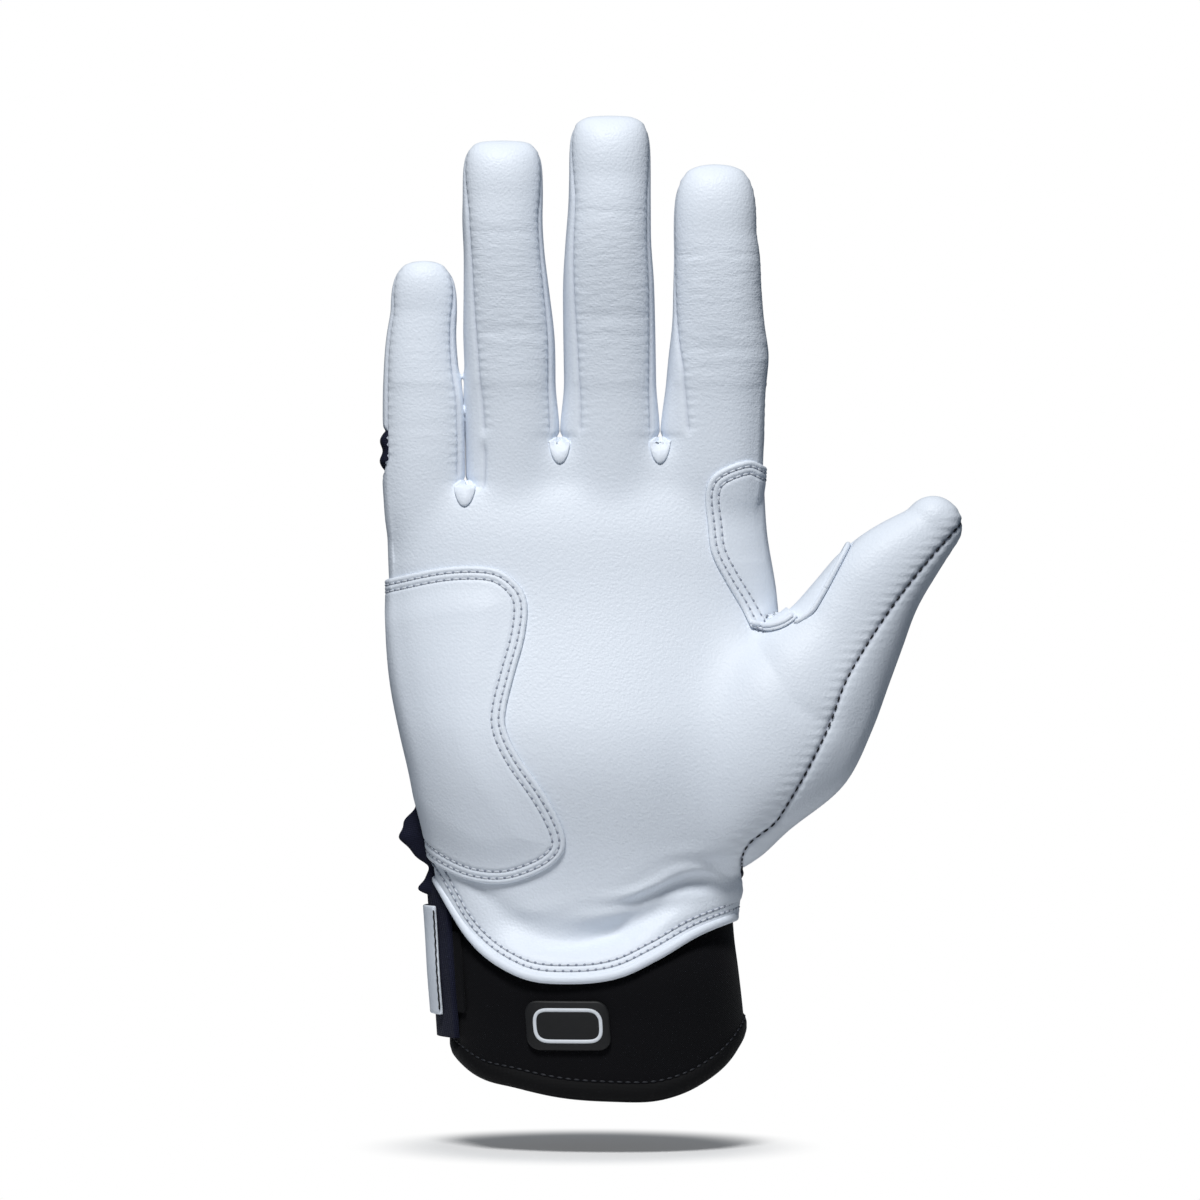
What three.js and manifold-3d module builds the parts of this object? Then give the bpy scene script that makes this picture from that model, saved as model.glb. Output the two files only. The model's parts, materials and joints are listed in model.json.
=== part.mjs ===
// A right-hand batting glove in its worn shape, each panel, patch and strap layer a closed solid of its own.
// Millimetres. +X is the thumb side, +Y the back of the hand, +Z runs up the fingers.
// The origin is the centre of the hand opening, at the bottom of the cuff.

import * as THREE from 'three';
import { mergeVertices } from 'three/addons/utils/BufferGeometryUtils.js';
import Module from 'manifold-3d';

const wasm = await Module();
wasm.setup();

// Thicknesses of the layers, and the clearances between them
const leather = 1.2;
const cuffWall = 2;
const hemWall = 1;
const foamThick = 1.5;
const elasticThick = 1;
const loopThick = 0.9;
const hookThick = 0.9;
const strapThick = 1.5;
const faceThick = 1;
const tabThick = 1.8;
const badgeThick = 1.5;
const seamGap = 0.3;
const wristEase = 0.4;

// Finger stalls, from the little finger to the index finger
const littleSide = -51;
const fingerGap = 0.8;
const crotchLow = 146;
const crotchHigh = 157;
const rootStep = 1;
const stubDepth = 18;
const flexLength = 10;
const ribHeight = 0.9;
const ribCount = 3;
const fingers = [
  {
    name: 'little', crotch: crotchLow, rootWidth: 20.3, rootDepth: 16.5,
    toKnuckle: 13.5, knuckleWidth: 20.2, knuckleDepth: 16.2, knuckleShift: -0.3,
    toTip: 42, tipWidth: 16.8, tipDepth: 13.6, tipShift: -0.4, tipRound: 14, bluntness: 2.3,
    panels: [['front', -75, 60], ['radial_fourchette', 60, 140], ['back', 140, 285]],
  },
  {
    name: 'ring', crotch: crotchHigh, rootWidth: 22.5, rootDepth: 18.5,
    toKnuckle: 25.8, knuckleWidth: 22, knuckleDepth: 18, knuckleShift: -0.4,
    toTip: 48.2, tipWidth: 19.4, tipDepth: 15.4, tipShift: -1.8, tipRound: 8, bluntness: 2.5,
    panels: [['front', -42, 60], ['radial_fourchette', 60, 140], ['back', 140, 230], ['ulnar_fourchette', 230, 318]],
  },
  {
    name: 'middle', crotch: crotchHigh, rootWidth: 23.8, rootDepth: 19,
    toKnuckle: 29.4, knuckleWidth: 22.6, knuckleDepth: 18.4, knuckleShift: -0.2,
    toTip: 50.6, tipWidth: 20.4, tipDepth: 15.8, tipShift: -0.1, tipRound: 8.5, bluntness: 2.8,
    panels: [['front', -42, 60], ['radial_fourchette', 60, 140], ['back', 140, 230], ['ulnar_fourchette', 230, 318]],
  },
  {
    name: 'index', crotch: crotchHigh, rootWidth: 25.2, rootDepth: 19,
    toKnuckle: 21.6, knuckleWidth: 24, knuckleDepth: 18.4, knuckleShift: 1.2,
    toTip: 46.3, tipWidth: 20.8, tipDepth: 15.4, tipShift: 0.8, tipRound: 12.4, bluntness: 2.2,
    panels: [['front', -42, 90], ['back', 90, 230], ['ulnar_fourchette', 230, 318]],
  },
];
const tipForward = 3;
const knuckleForward = 0.5;

// Thumb, in a frame of its own: u across (positive outwards), y as in the glove, z along the thumb
const thumbLean = 38;
const thumbPlace = [61, 0, 106.4];
const thumbRoot = 1.5;
const thumbJoint = 17;
const thumbShoulder = 38;
const thumbRound = 8;
const thumbBlunt = 2.2;
const thumbKeys = [
  { z: -58, left: -8, right: 15, front: -21, back: 12 },
  { z: -42, left: -16, right: 17.9, front: -25.5, back: 10 },
  { z: -24, left: -20, right: 21.6, front: -26.5, back: 7.5 },
  { z: -10, left: -18.5, right: 18.8, front: -24.5, back: 6 },
  { z: 2, left: -15.3, right: 15, front: -21, back: 4.5 },
  { z: 10, left: -14.8, right: 12.4, front: -20, back: 2.5 },
  { z: 20, left: -14.3, right: 9.2, front: -19.5, back: 0.5 },
  { z: 30, left: -11.8, right: 7.8, front: -19, back: -1.5 },
  { z: thumbShoulder, left: -8.8, right: 7.2, front: -18.4, back: -3.8 },
];
const thumbCentre = [-2, -9];
const thumbPanels = [['front', -95, 37], ['back', 37, 265]];

// Hand and cuff, as sections at heights up the glove
const fingerSpan = fingers.reduce((sum, f) => sum + f.rootWidth + fingerGap, -fingerGap);
const indexSide = littleSide + fingerSpan;
const cuffTop = 50;
const cuffKeys = [
  { z: -10, left: -32.8, right: 39, front: -25, back: 25 },
  { z: 15, left: -33.8, right: 38.4, front: -24.8, back: 24.8 },
  { z: 36, left: -35.3, right: 36, front: -24, back: 24 },
  { z: cuffTop, left: -36.8, right: 36.4, front: -23.4, back: 23.2 },
];
const palmKeys = [
  { z: 72, left: -42, right: 44, front: -22, back: 20.5 },
  { z: 95, left: -46.9, right: 46, front: -19.5, back: 18 },
  { z: 120, left: -48.8, right: 45, front: -15.5, back: 15.8 },
  { z: crotchLow - 7, left: littleSide + 0.6, right: indexSide - 0.6, front: -12, back: 13 },
  { z: crotchLow, left: littleSide + 1, right: indexSide - 1, front: -8.6, back: 9.6 },
];
const sideSeam = 1;
const backSplit = 75;
const stretchEdge = 46;
const stretchPuff = 3;
const webDepth = 12;

// Curved wrist edge of the palm leather: its lowest point, and how fast it rises to either side
const edgeLow = 26.8;
const edgeCentre = -4;
const edgeRiseUlnar = 0.0175;
const edgeRiseRadial = 0.0095;
const bindingHeight = 2.2;
const bindingProud = 0.6;

// Cuff hem, slit, badge and elastic
const hemFront = -3.7;
const hemSide = 11;
const hemReach = 31;
const hemCentre = 5;
const hemBand = 6;
const slitPlace = 3;
const slitWidth = 5;
const slitTop = 62;
const badge = { x: -5.6, z: 15.5, width: 20, height: 12, corner: 3 };
const elastic = { from: -26, to: 22, height: 5 };

// Strap, wrapped over the back of the cuff from its sewn edge on the little-finger side
const strapEdge = -10.3;
const strapLow = 11.5;
const strapHigh = 49;
const strapEnd = 31;
const strapTaper = 4;
const faceInset = 5.5;
const faceEnd = 17.5;
const tabInset = 4;
const anchorWidth = 2.6;
const anchorLow = 17.8;
const anchorHigh = 37.5;
const loop = { from: 9, to: 29, low: 18, high: 42 };
const hookInset = 1;
const hingeProud = 0.3;

// Outlines on the palm, as seen from the palm side: across and up
const heelOutline = [
  [-70, 123], [-35, 126.5], [-22, 126], [-15.2, 118], [-16.5, 106], [-19.9, 90], [-14, 76.5],
  [-6.5, 64], [-6.5, 56], [-14, 51.4], [-27, 50], [-38, 54.6], [-70, 58],
];
const heelBorder = 3.6;
const heelFoamSide = -44;
const webOutline = [
  [52, 152], [40, 153], [32, 150.5], [28.8, 144], [29.4, 136], [31.5, 127], [36, 119],
  [39.7, 111.2], [46, 111.4], [53, 115.4], [60, 126],
];
const webBack = 2;
const thumbSeam = [
  [39.5, 54], [46.6, 65.2], [52.4, 75.7], [57, 85.5], [61, 93.6], [68, 108], [80, 130],
];
const gussetWidth = 7.2;
const gussetDrop = 7.5;
const gussetRise = 0.6;

// How square each section is: 2 is an ellipse, more is boxier
const stallSquare = 2.3;
const wristSquare = 2.2;
const palmSquare = 2.7;

// How finely the curves are stepped
const fingerSteps = 4;
const thumbSteps = 10;
const cuffSteps = 6;
const palmSteps = 7;
const heelSteps = 22;
const webSteps = 16;
const handSides = 24;
const fingerSides = 12;
const thumbSides = 14;
const far = 300;
const degrees = Math.PI / 180;

// Shapes
function toSolid(geometry) {
  const bare = geometry.clone();
  bare.deleteAttribute('normal');
  bare.deleteAttribute('uv');
  const merged = mergeVertices(bare, 1e-4);
  return new wasm.Manifold(new wasm.Mesh({
    numProp: 3,
    vertProperties: new Float32Array(merged.attributes.position.array),
    triVerts: new Uint32Array(merged.index.array),
  }));
}

function toGeometry(solid) {
  const mesh = solid.getMesh();
  const geometry = new THREE.BufferGeometry();
  geometry.setAttribute('position', new THREE.BufferAttribute(new Float32Array(mesh.vertProperties), 3));
  geometry.setIndex(new THREE.BufferAttribute(new Uint32Array(mesh.triVerts), 1));
  geometry.computeVertexNormals();
  return geometry;
}

function unite(solids) {
  return solids.reduce((all, solid) => all.add(solid));
}

function box(low, high) {
  const size = low.map((value, i) => high[i] - value);
  const geometry = new THREE.BoxGeometry(...size);
  geometry.translate(...low.map((value, i) => value + size[i] / 2));
  return toSolid(geometry);
}

function slab(axis, from, to) {
  const low = [-far, -far, -far];
  const high = [far, far, far];
  low[axis] = from;
  high[axis] = to;
  return box(low, high);
}

// The outline's second number is height
function prismAlongY(outline, from = -far, to = far) {
  const points = outline.map(([x, z]) => new THREE.Vector2(x, z));
  const shape = new THREE.Shape(points);
  const geometry = new THREE.ExtrudeGeometry(shape, { depth: to - from, bevelEnabled: false });
  geometry.rotateX(Math.PI / 2);
  geometry.translate(0, to, 0);
  return toSolid(geometry);
}

function rounded(outline, steps) {
  const points = outline.map(([x, z]) => new THREE.Vector2(x, z));
  return new THREE.SplineCurve(points).getPoints(steps).map((p) => [p.x, p.y]);
}

// Moves a clockwise outline inwards
function inset(outline, distance) {
  return outline.map((point, i) => {
    const before = outline[(i + outline.length - 1) % outline.length];
    const after = outline[(i + 1) % outline.length];
    const along = new THREE.Vector2(after[0] - before[0], after[1] - before[1]).normalize();
    return [point[0] + along.y * distance, point[1] - along.x * distance];
  });
}

function roundedBox(centre, height, wide, tall, corner) {
  const points = [];
  for (const [sx, sz, start] of [[1, 1, 0], [-1, 1, 90], [-1, -1, 180], [1, -1, 270]]) {
    for (const turn of [0, 30, 60, 90]) {
      const angle = (start + turn) * degrees;
      const x = centre + sx * (wide / 2 - corner) + Math.cos(angle) * corner;
      const z = height + sz * (tall / 2 - corner) + Math.sin(angle) * corner;
      points.push([x, z]);
    }
  }
  return points;
}

// A sector of a stall, cut back by half a seam gap; angles run from the palm side towards the thumb
function wedgeGeometry(centre, from, to, low, high) {
  const middle = (from + to) / 2;
  const toward = (angle) => new THREE.Vector2(Math.sin(angle * degrees), -Math.cos(angle * degrees));
  const back = seamGap / 2 / Math.sin((to - from) / 2 * degrees);
  const apex = centre.clone().addScaledVector(toward(middle), back);
  const rim = [from, middle, to].map((angle, i) => apex.clone().addScaledVector(toward(angle), i === 1 ? far : far / 2));
  const shape = new THREE.Shape([apex, ...rim]);
  const geometry = new THREE.ExtrudeGeometry(shape, { depth: high - low, bevelEnabled: false });
  geometry.translate(0, 0, low);
  return geometry;
}

// A closed body through rounded sections, each with its own squareness
function loftGeometry(sections, sides) {
  const positions = [];
  const faces = [];
  for (const s of sections) {
    const power = 2 / s.square;
    for (let j = 0; j < sides; j += 1) {
      const c = Math.cos(j / sides * 2 * Math.PI);
      const d = Math.sin(j / sides * 2 * Math.PI);
      const x = (s.left + s.right) / 2 + (s.right - s.left) / 2 * Math.sign(c) * Math.abs(c) ** power;
      const y = (s.front + s.back) / 2 + (s.back - s.front) / 2 * Math.sign(d) * Math.abs(d) ** power;
      positions.push(x, y, s.z);
    }
  }
  for (let i = 0; i + 1 < sections.length; i += 1) {
    for (let j = 0; j < sides; j += 1) {
      const a = i * sides + j;
      const b = i * sides + (j + 1) % sides;
      faces.push(a, b, b + sides, a, b + sides, a + sides);
    }
  }
  for (const [ring, flip] of [[0, true], [sections.length - 1, false]]) {
    const s = sections[ring];
    const hub = positions.length / 3;
    positions.push((s.left + s.right) / 2, (s.front + s.back) / 2, s.z);
    for (let j = 0; j < sides; j += 1) {
      const a = ring * sides + j;
      const b = ring * sides + (j + 1) % sides;
      faces.push(hub, flip ? b : a, flip ? a : b);
    }
  }
  const geometry = new THREE.BufferGeometry();
  geometry.setAttribute('position', new THREE.Float32BufferAttribute(positions, 3));
  geometry.setIndex(faces);
  return geometry;
}

function smooth(keys, steps) {
  const names = ['left', 'right', 'front', 'back', 'square'];
  const curves = names.map((name) => new THREE.SplineCurve(keys.map((k) => new THREE.Vector2(k.z, k[name]))));
  return Array.from({ length: steps + 1 }, (_, i) => {
    const points = curves.map((curve) => curve.getPoint(i / steps));
    const section = { z: points[0].x };
    names.forEach((name, n) => { section[name] = points[n].y; });
    return section;
  });
}

function sectionAt(sections, z) {
  const upper = sections.findIndex((section) => section.z > z);
  const above = sections[upper];
  const below = sections[upper - 1];
  const share = (z - below.z) / (above.z - below.z);
  const mix = (name) => below[name] + (above[name] - below[name]) * share;
  return {
    z, left: mix('left'), right: mix('right'), front: mix('front'), back: mix('back'), square: mix('square'),
  };
}

function grow(section, by) {
  return {
    ...section,
    left: section.left - by,
    right: section.right + by,
    front: section.front - by,
    back: section.back + by,
  };
}

// Rounds a stall's end off above its shoulder section
function dome(shoulder, height, bluntness, by) {
  const power = 2 / bluntness;
  return [30, 58, 80].map((turn) => {
    const shrink = Math.cos(turn * degrees) ** power;
    const rise = Math.sin(turn * degrees) ** power;
    const x = (shoulder.left + shoulder.right) / 2;
    const y = (shoulder.front + shoulder.back) / 2;
    return {
      ...shoulder,
      z: shoulder.z + (height + by) * rise,
      left: x + (shoulder.left - x) * shrink,
      right: x + (shoulder.right - x) * shrink,
      front: y + (shoulder.front - y) * shrink,
      back: y + (shoulder.back - y) * shrink,
    };
  });
}

// Finger stalls: place each beside the last, then find its sections
let nextSide = littleSide;
for (const f of fingers) {
  f.centre = nextSide + f.rootWidth / 2;
  f.radialSide = nextSide + f.rootWidth;
  f.rootZ = f.crotch + rootStep;
  f.knuckleZ = f.rootZ + f.toKnuckle;
  f.tipZ = f.knuckleZ + f.toTip;
  nextSide += f.rootWidth + fingerGap;
}

function stallSection(f, z, width, depth, shift, forward) {
  const x = f.centre + shift;
  return {
    z, left: x - width / 2, right: x + width / 2, front: -depth / 2 - forward, back: depth / 2 - forward,
    square: stallSquare,
  };
}

function fingerSections(f, by) {
  const root = stallSection(f, f.rootZ, f.rootWidth, f.rootDepth, 0, 0);
  const knuckle = stallSection(f, f.knuckleZ, f.knuckleWidth, f.knuckleDepth, f.knuckleShift, knuckleForward);
  const shoulderZ = f.tipZ - f.tipRound;
  const shoulder = stallSection(f, shoulderZ, f.tipWidth, f.tipDepth, f.tipShift, tipForward);
  const stub = { ...root, z: f.rootZ - stubDepth };
  const rising = smooth([root, knuckle, shoulder], fingerSteps);
  const sections = [stub, ...rising].map((section) => grow(section, by));
  return [...sections, ...dome(sections[sections.length - 1], f.tipRound, f.bluntness, by)];
}

function fingerSolid(f, by) {
  return toSolid(loftGeometry(fingerSections(f, by), fingerSides));
}

// The flex insert's outer surface: ribs that run across the back of the knuckle
function ribbedSolid(f) {
  const steps = ribCount * 4;
  const plain = fingerSections(f, 0);
  const sections = [];
  for (let i = 0; i <= steps; i += 1) {
    const z = f.knuckleZ - flexLength * (1 - i / steps);
    const rib = ribHeight * Math.sin(i / 4 * Math.PI) ** 2;
    sections.push(grow(sectionAt(plain, z), rib));
  }
  return toSolid(loftGeometry(sections, fingerSides));
}

// Thumb, turned from its own frame into the glove's
const thumbFrame = new THREE.Matrix4().makeRotationY(thumbLean * degrees).setPosition(...thumbPlace);

function inThumb(geometry) {
  return toSolid(geometry.applyMatrix4(thumbFrame));
}

const thumbSections = smooth(thumbKeys.map((key) => ({ ...key, square: wristSquare })), thumbSteps);

function thumbSolid(by) {
  const sections = thumbSections.map((section) => grow(section, by));
  const end = dome(sections[sections.length - 1], thumbRound, thumbBlunt, by);
  return inThumb(loftGeometry([...sections, ...end], thumbSides));
}

function thumbSlab(from, to) {
  const geometry = new THREE.BoxGeometry(far, far, to - from);
  geometry.translate(0, 0, (from + to) / 2);
  return inThumb(geometry);
}

// Hand: palm, thumb base and finger roots as one body, at any distance from the leather's outer face
const cuffSections = smooth(cuffKeys.map((key) => ({ ...key, square: wristSquare })), cuffSteps);

function cuffSolid(by) {
  const sections = cuffSections.map((section) => grow(section, by));
  return toSolid(loftGeometry(sections, handSides));
}

// A puff swells the wrist between the cuff and the back panel
function handSolid(by, puff = 0) {
  const wrist = cuffSections.slice(3).map((section) => grow(section, wristEase + leather));
  const keys = palmKeys.map((key) => ({ ...key, square: palmSquare }));
  const rising = smooth([wrist[wrist.length - 1], ...keys], palmSteps).slice(1);
  const swell = (z) => {
    const share = THREE.MathUtils.clamp((z - cuffTop) / (backSplit - cuffTop), 0, 1);
    return puff * Math.sin(share * Math.PI) ** 2;
  };
  const sections = [...wrist, ...rising].map((section) => grow(section, by + swell(section.z)));
  sections[sections.length - 1].z += by;
  const roots = fingers.map((f) => fingerSolid(f, by).intersect(slab(2, -far, f.rootZ - seamGap / 2)));
  const thumbBase = thumbSolid(by).intersect(thumbSlab(-far, thumbRoot - seamGap / 2));
  return unite([toSolid(loftGeometry(sections, handSides)), thumbBase, ...roots]);
}

function handCavity() {
  const wrist = cuffSections.slice(3).map((section) => grow(section, wristEase));
  const keys = palmKeys.map((key) => grow({ ...key, square: palmSquare }, -leather));
  keys[keys.length - 1].z -= leather;
  const rising = smooth([wrist[wrist.length - 1], ...keys], palmSteps).slice(1);
  const open = { ...wrist[0], z: wrist[0].z - 1 };
  const sections = [open, ...wrist, ...rising];
  const stalls = fingers.map((f) => fingerSolid(f, -leather));
  return unite([toSolid(loftGeometry(sections, handSides)), thumbSolid(-leather), ...stalls]);
}

const webs = box(
  [fingers[1].centre, -webDepth / 2, crotchLow - stubDepth / 2],
  [fingers[3].centre, webDepth / 2, crotchHigh],
);
const handOuter = handSolid(0).add(webs);
const cavity = handCavity();
const handShell = handOuter.subtract(cavity);

// Regions of the hand's panels
const palmSide = slab(1, -far, sideSeam - seamGap / 2);
const backSide = slab(1, sideSeam + seamGap / 2, far);

function edgeHeight(x) {
  const rise = x < edgeCentre ? edgeRiseUlnar : edgeRiseRadial;
  return edgeLow + rise * (x - edgeCentre) ** 2;
}

function aboveEdge(shift) {
  const points = [];
  for (let x = -44; x <= 44; x += 8) {
    points.push([x, edgeHeight(x) + shift]);
  }
  const [first, last] = [points[0], points[points.length - 1]];
  return prismAlongY([[-far, first[1]], ...points, [far, last[1]], [far, far], [-far, far]]);
}

function besideThumbSeam(shift) {
  const line = thumbSeam.map(([x, z]) => [x + shift, z]);
  return prismAlongY([...line, [far, line[line.length - 1][1]], [far, line[0][1]]]);
}

function gussetPrism(place, crotch, by) {
  const half = gussetWidth / 2 + by;
  const top = crotch + gussetRise + by;
  const shoulder = crotch - gussetDrop / 3;
  const outline = [
    [place, crotch - gussetDrop - by * 2], [place + half, shoulder], [place + half, top],
    [place - half, top], [place - half, shoulder],
  ];
  return prismAlongY(outline);
}

const crotches = [
  { name: 'little_ring', place: fingers[0].radialSide + fingerGap / 2, height: crotchLow },
  { name: 'ring_middle', place: fingers[1].radialSide + fingerGap / 2, height: crotchHigh },
  { name: 'middle_index', place: fingers[2].radialSide + fingerGap / 2, height: crotchHigh },
];
const gussetCuts = unite(crotches.map((c) => gussetPrism(c.place, c.height, seamGap)));
const slit = prismAlongY([
  [slitPlace - slitWidth / 2, -far], [slitPlace + slitWidth / 2, -far],
  [slitPlace + slitWidth / 5, slitTop], [slitPlace - slitWidth / 5, slitTop],
], 0, far);

// Materials
function material(color, roughness) {
  return new THREE.MeshStandardMaterial({ color, roughness, metalness: 0 });
}
const looks = {
  whiteLeather: () => material(0xe4e9ef, 0.55),
  palmPatch: () => material(0xdce2e9, 0.6),
  navyStretch: () => material(0x17182a, 0.8),
  blackKnit: () => material(0x0e1014, 0.85),
  blackBinding: () => material(0x0a0b0e, 0.75),
  rubber: () => material(0x15161a, 0.5),
  foam: () => material(0xc9ccd0, 0.9),
  elastic: () => material(0xd8d9dc, 0.9),
  hook: () => material(0x1a1a1e, 0.7),
};

const glove = new THREE.Group();
glove.name = 'batting_glove';

function addPart(name, solid, look) {
  const mesh = new THREE.Mesh(toGeometry(solid), looks[look]());
  mesh.name = name;
  glove.add(mesh);
}

// Hand panels
const seamSide = besideThumbSeam(seamGap / 2);
const palmLeather = handShell.intersect(palmSide).subtract(gussetCuts);
addPart(
  'palm_panel',
  palmLeather.intersect(aboveEdge(bindingHeight + seamGap)).subtract(besideThumbSeam(-seamGap / 2)),
  'whiteLeather',
);
addPart('thumb_base_panel', palmLeather.intersect(seamSide), 'whiteLeather');
const backShell = handShell.intersect(backSide).subtract(gussetCuts);
addPart('back_panel', backShell.intersect(slab(2, backSplit + seamGap / 2, far)), 'whiteLeather');
addPart(
  'back_stretch_panel',
  handSolid(0, stretchPuff).subtract(cavity).intersect(backSide)
    .intersect(slab(2, stretchEdge, backSplit - seamGap / 2)).subtract(slit),
  'navyStretch',
);
for (const c of crotches) {
  addPart(`crotch_gusset_${c.name}`, handShell.intersect(gussetPrism(c.place, c.height, 0)), 'whiteLeather');
}
const bindingBand = aboveEdge(0).subtract(aboveEdge(bindingHeight));
addPart(
  'palm_edge_binding',
  handSolid(bindingProud).subtract(cavity).intersect(palmSide).intersect(bindingBand)
    .subtract(besideThumbSeam(-seamGap / 2)),
  'whiteLeather',
);

// Overlays on the palm
const overPalm = handSolid(seamGap);
const heelCurve = rounded(heelOutline, heelSteps);
const foamOut = seamGap + foamThick;
const foamPlan = prismAlongY(inset(heelCurve, heelBorder)).intersect(slab(0, heelFoamSide, far));
const foamRoom = prismAlongY(inset(heelCurve, heelBorder - seamGap))
  .intersect(slab(0, heelFoamSide - seamGap, far));
const heelFront = slab(1, -far, 0);
addPart(
  'heel_foam_pad',
  handSolid(foamOut).subtract(overPalm).intersect(foamPlan).intersect(heelFront),
  'foam',
);
const crownPlan = prismAlongY(inset(heelCurve, heelBorder - seamGap - leather))
  .intersect(slab(0, heelFoamSide - seamGap - leather, far));
const crown = handSolid(foamOut + seamGap + leather).intersect(crownPlan);
const pocket = handSolid(foamOut + seamGap).intersect(foamRoom).intersect(slab(1, -far, seamGap));
addPart(
  'heel_patch',
  handSolid(seamGap + leather).intersect(prismAlongY(heelCurve)).add(crown)
    .intersect(slab(1, -far, sideSeam)).subtract(overPalm).subtract(pocket),
  'palmPatch',
);
addPart(
  'web_gusset',
  handSolid(seamGap + leather).subtract(overPalm).intersect(prismAlongY(rounded(webOutline, webSteps), -far, webBack)),
  'palmPatch',
);
const innerFace = handSolid(-leather - seamGap);
addPart(
  'wrist_elastic',
  innerFace.subtract(handSolid(-leather - seamGap - elasticThick)).intersect(box(
    [elastic.from, -far, cuffTop + 1],
    [elastic.to, 0, cuffTop + 1 + elastic.height],
  )),
  'elastic',
);

// Finger stalls, cut at the root crease and the middle knuckle
for (const f of fingers) {
  const tube = fingerSolid(f, 0).subtract(fingerSolid(f, -leather));
  const ribbed = ribbedSolid(f).subtract(fingerSolid(f, -leather));
  const centre = new THREE.Vector2(f.centre + f.knuckleShift / 2, -1);
  const flexLow = f.knuckleZ - flexLength;
  for (const [panel, from, to] of f.panels) {
    const cut = (low, high) => toSolid(wedgeGeometry(centre, from, to, low + seamGap / 2, high - seamGap / 2));
    const baseTop = panel === 'back' ? flexLow : f.knuckleZ;
    addPart(`${f.name}_base_${panel}`, tube.intersect(cut(f.rootZ, baseTop)), 'whiteLeather');
    if (panel === 'back') {
      addPart(`${f.name}_knuckle_flex`, ribbed.intersect(cut(flexLow, f.knuckleZ)), 'navyStretch');
    }
    addPart(`${f.name}_end_${panel}`, tube.intersect(cut(f.knuckleZ, far)), 'whiteLeather');
  }
}

// Thumb stall, cut at its root and its joint
const thumbTube = thumbSolid(0).subtract(thumbSolid(-leather));
for (const [segment, low, high] of [['base', thumbRoot, thumbJoint], ['end', thumbJoint, far]]) {
  for (const [panel, from, to] of thumbPanels) {
    const centre = new THREE.Vector2(...thumbCentre);
    const cut = inThumb(wedgeGeometry(centre, from, to, low + seamGap / 2, high - seamGap / 2));
    addPart(`thumb_${segment}_${panel}`, thumbTube.intersect(cut), 'whiteLeather');
  }
}

// Cuff: a palm band and two flaps either side of the slit, with a hem folded round their lower edge
function aboveHem(shift) {
  const points = [];
  for (let i = -5; i <= 5; i += 1) {
    const rise = (hemSide - hemFront) * Math.abs(i / 5) ** 5;
    const reach = i < 0 ? hemReach + hemCentre : hemReach - hemCentre;
    points.push([hemCentre + reach * i / 5, hemFront + rise + shift]);
  }
  const around = [[far, hemSide + shift], [far, far], [-far, far], [-far, hemSide + shift]];
  const front = prismAlongY([...points, ...around], -far, 0);
  return front.add(box([-far, 0, hemSide + shift], [far, far, far]));
}
const cuffShell = cuffSolid(0).subtract(cuffSolid(-cuffWall)).intersect(aboveHem(0));
const cuffBack = cuffShell.intersect(backSide).subtract(slit);
addPart('cuff_palm_band', cuffShell.intersect(palmSide), 'blackKnit');
addPart('cuff_flap_ulnar', cuffBack.intersect(slab(0, -far, slitPlace)), 'blackKnit');
addPart('cuff_flap_radial', cuffBack.intersect(slab(0, slitPlace, far)), 'blackKnit');
const hemRoom = cuffSolid(seamGap).subtract(cuffSolid(-cuffWall - seamGap)).intersect(aboveHem(-seamGap));
addPart(
  'cuff_hem_binding',
  cuffSolid(seamGap + hemWall).subtract(cuffSolid(-cuffWall - seamGap - hemWall))
    .intersect(aboveHem(-seamGap - hemWall).subtract(aboveHem(hemBand)))
    .subtract(hemRoom).subtract(slit),
  'blackBinding',
);
const badgeFace = cuffKeys[1].front - badgeThick;
addPart(
  'wrist_badge',
  prismAlongY(roundedBox(badge.x, badge.z, badge.width, badge.height, badge.corner), badgeFace, 0)
    .subtract(cuffSolid(seamGap)),
  'rubber',
);

// Strap layers, each a wrap at its own distance from the cuff
const loopOut = seamGap + loopThick;
const hookOut = loopOut + seamGap + hookThick;
const strapIn = hookOut + seamGap;
const strapOut = strapIn + strapThick;
const faceIn = strapOut + seamGap;
const faceOut = faceIn + faceThick;

function wrap(inner, outer, outline, from) {
  return cuffSolid(outer).subtract(cuffSolid(inner)).intersect(prismAlongY(outline, from, far));
}

function rectangle(left, right, low, high) {
  return [[left, low], [right, low], [right, high], [left, high]];
}

// A strap outline with a tapered, round free end
function strapOutline(start, end, low, high, taper) {
  const middle = (low + high) / 2;
  const half = (high - low) / 2 - taper;
  const tip = [-90, -60, -30, 0, 30, 60, 90].map((turn) => {
    const angle = turn * degrees;
    return [end - half * 0.5 * (1 - Math.cos(angle)), middle + half * Math.sin(angle)];
  });
  return [[start, low], ...tip, [start, high]];
}

addPart('closure_loop_patch', wrap(seamGap, loopOut, rectangle(loop.from, loop.to, loop.low, loop.high), 0), 'hook');
addPart(
  'strap_anchor_tab',
  wrap(seamGap, strapOut, rectangle(-far, 0, anchorLow, anchorHigh), strapEdge - seamGap - anchorWidth)
    .intersect(slab(1, -far, strapEdge - seamGap)),
  'navyStretch',
);
addPart(
  'strap_base',
  wrap(strapIn, strapOut, strapOutline(-far, strapEnd, strapLow, strapHigh, strapTaper), strapEdge),
  'navyStretch',
);
addPart(
  'strap_face',
  wrap(faceIn, faceOut, rectangle(-far, faceEnd, strapLow + faceInset, strapHigh - faceInset), strapEdge),
  'whiteLeather',
);
addPart(
  'strap_pull_tab',
  wrap(
    faceIn,
    faceIn + tabThick,
    strapOutline(faceEnd + seamGap, strapEnd - 1, strapLow + faceInset, strapHigh - faceInset, tabInset),
    strapEdge,
  ),
  'rubber',
);
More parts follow.
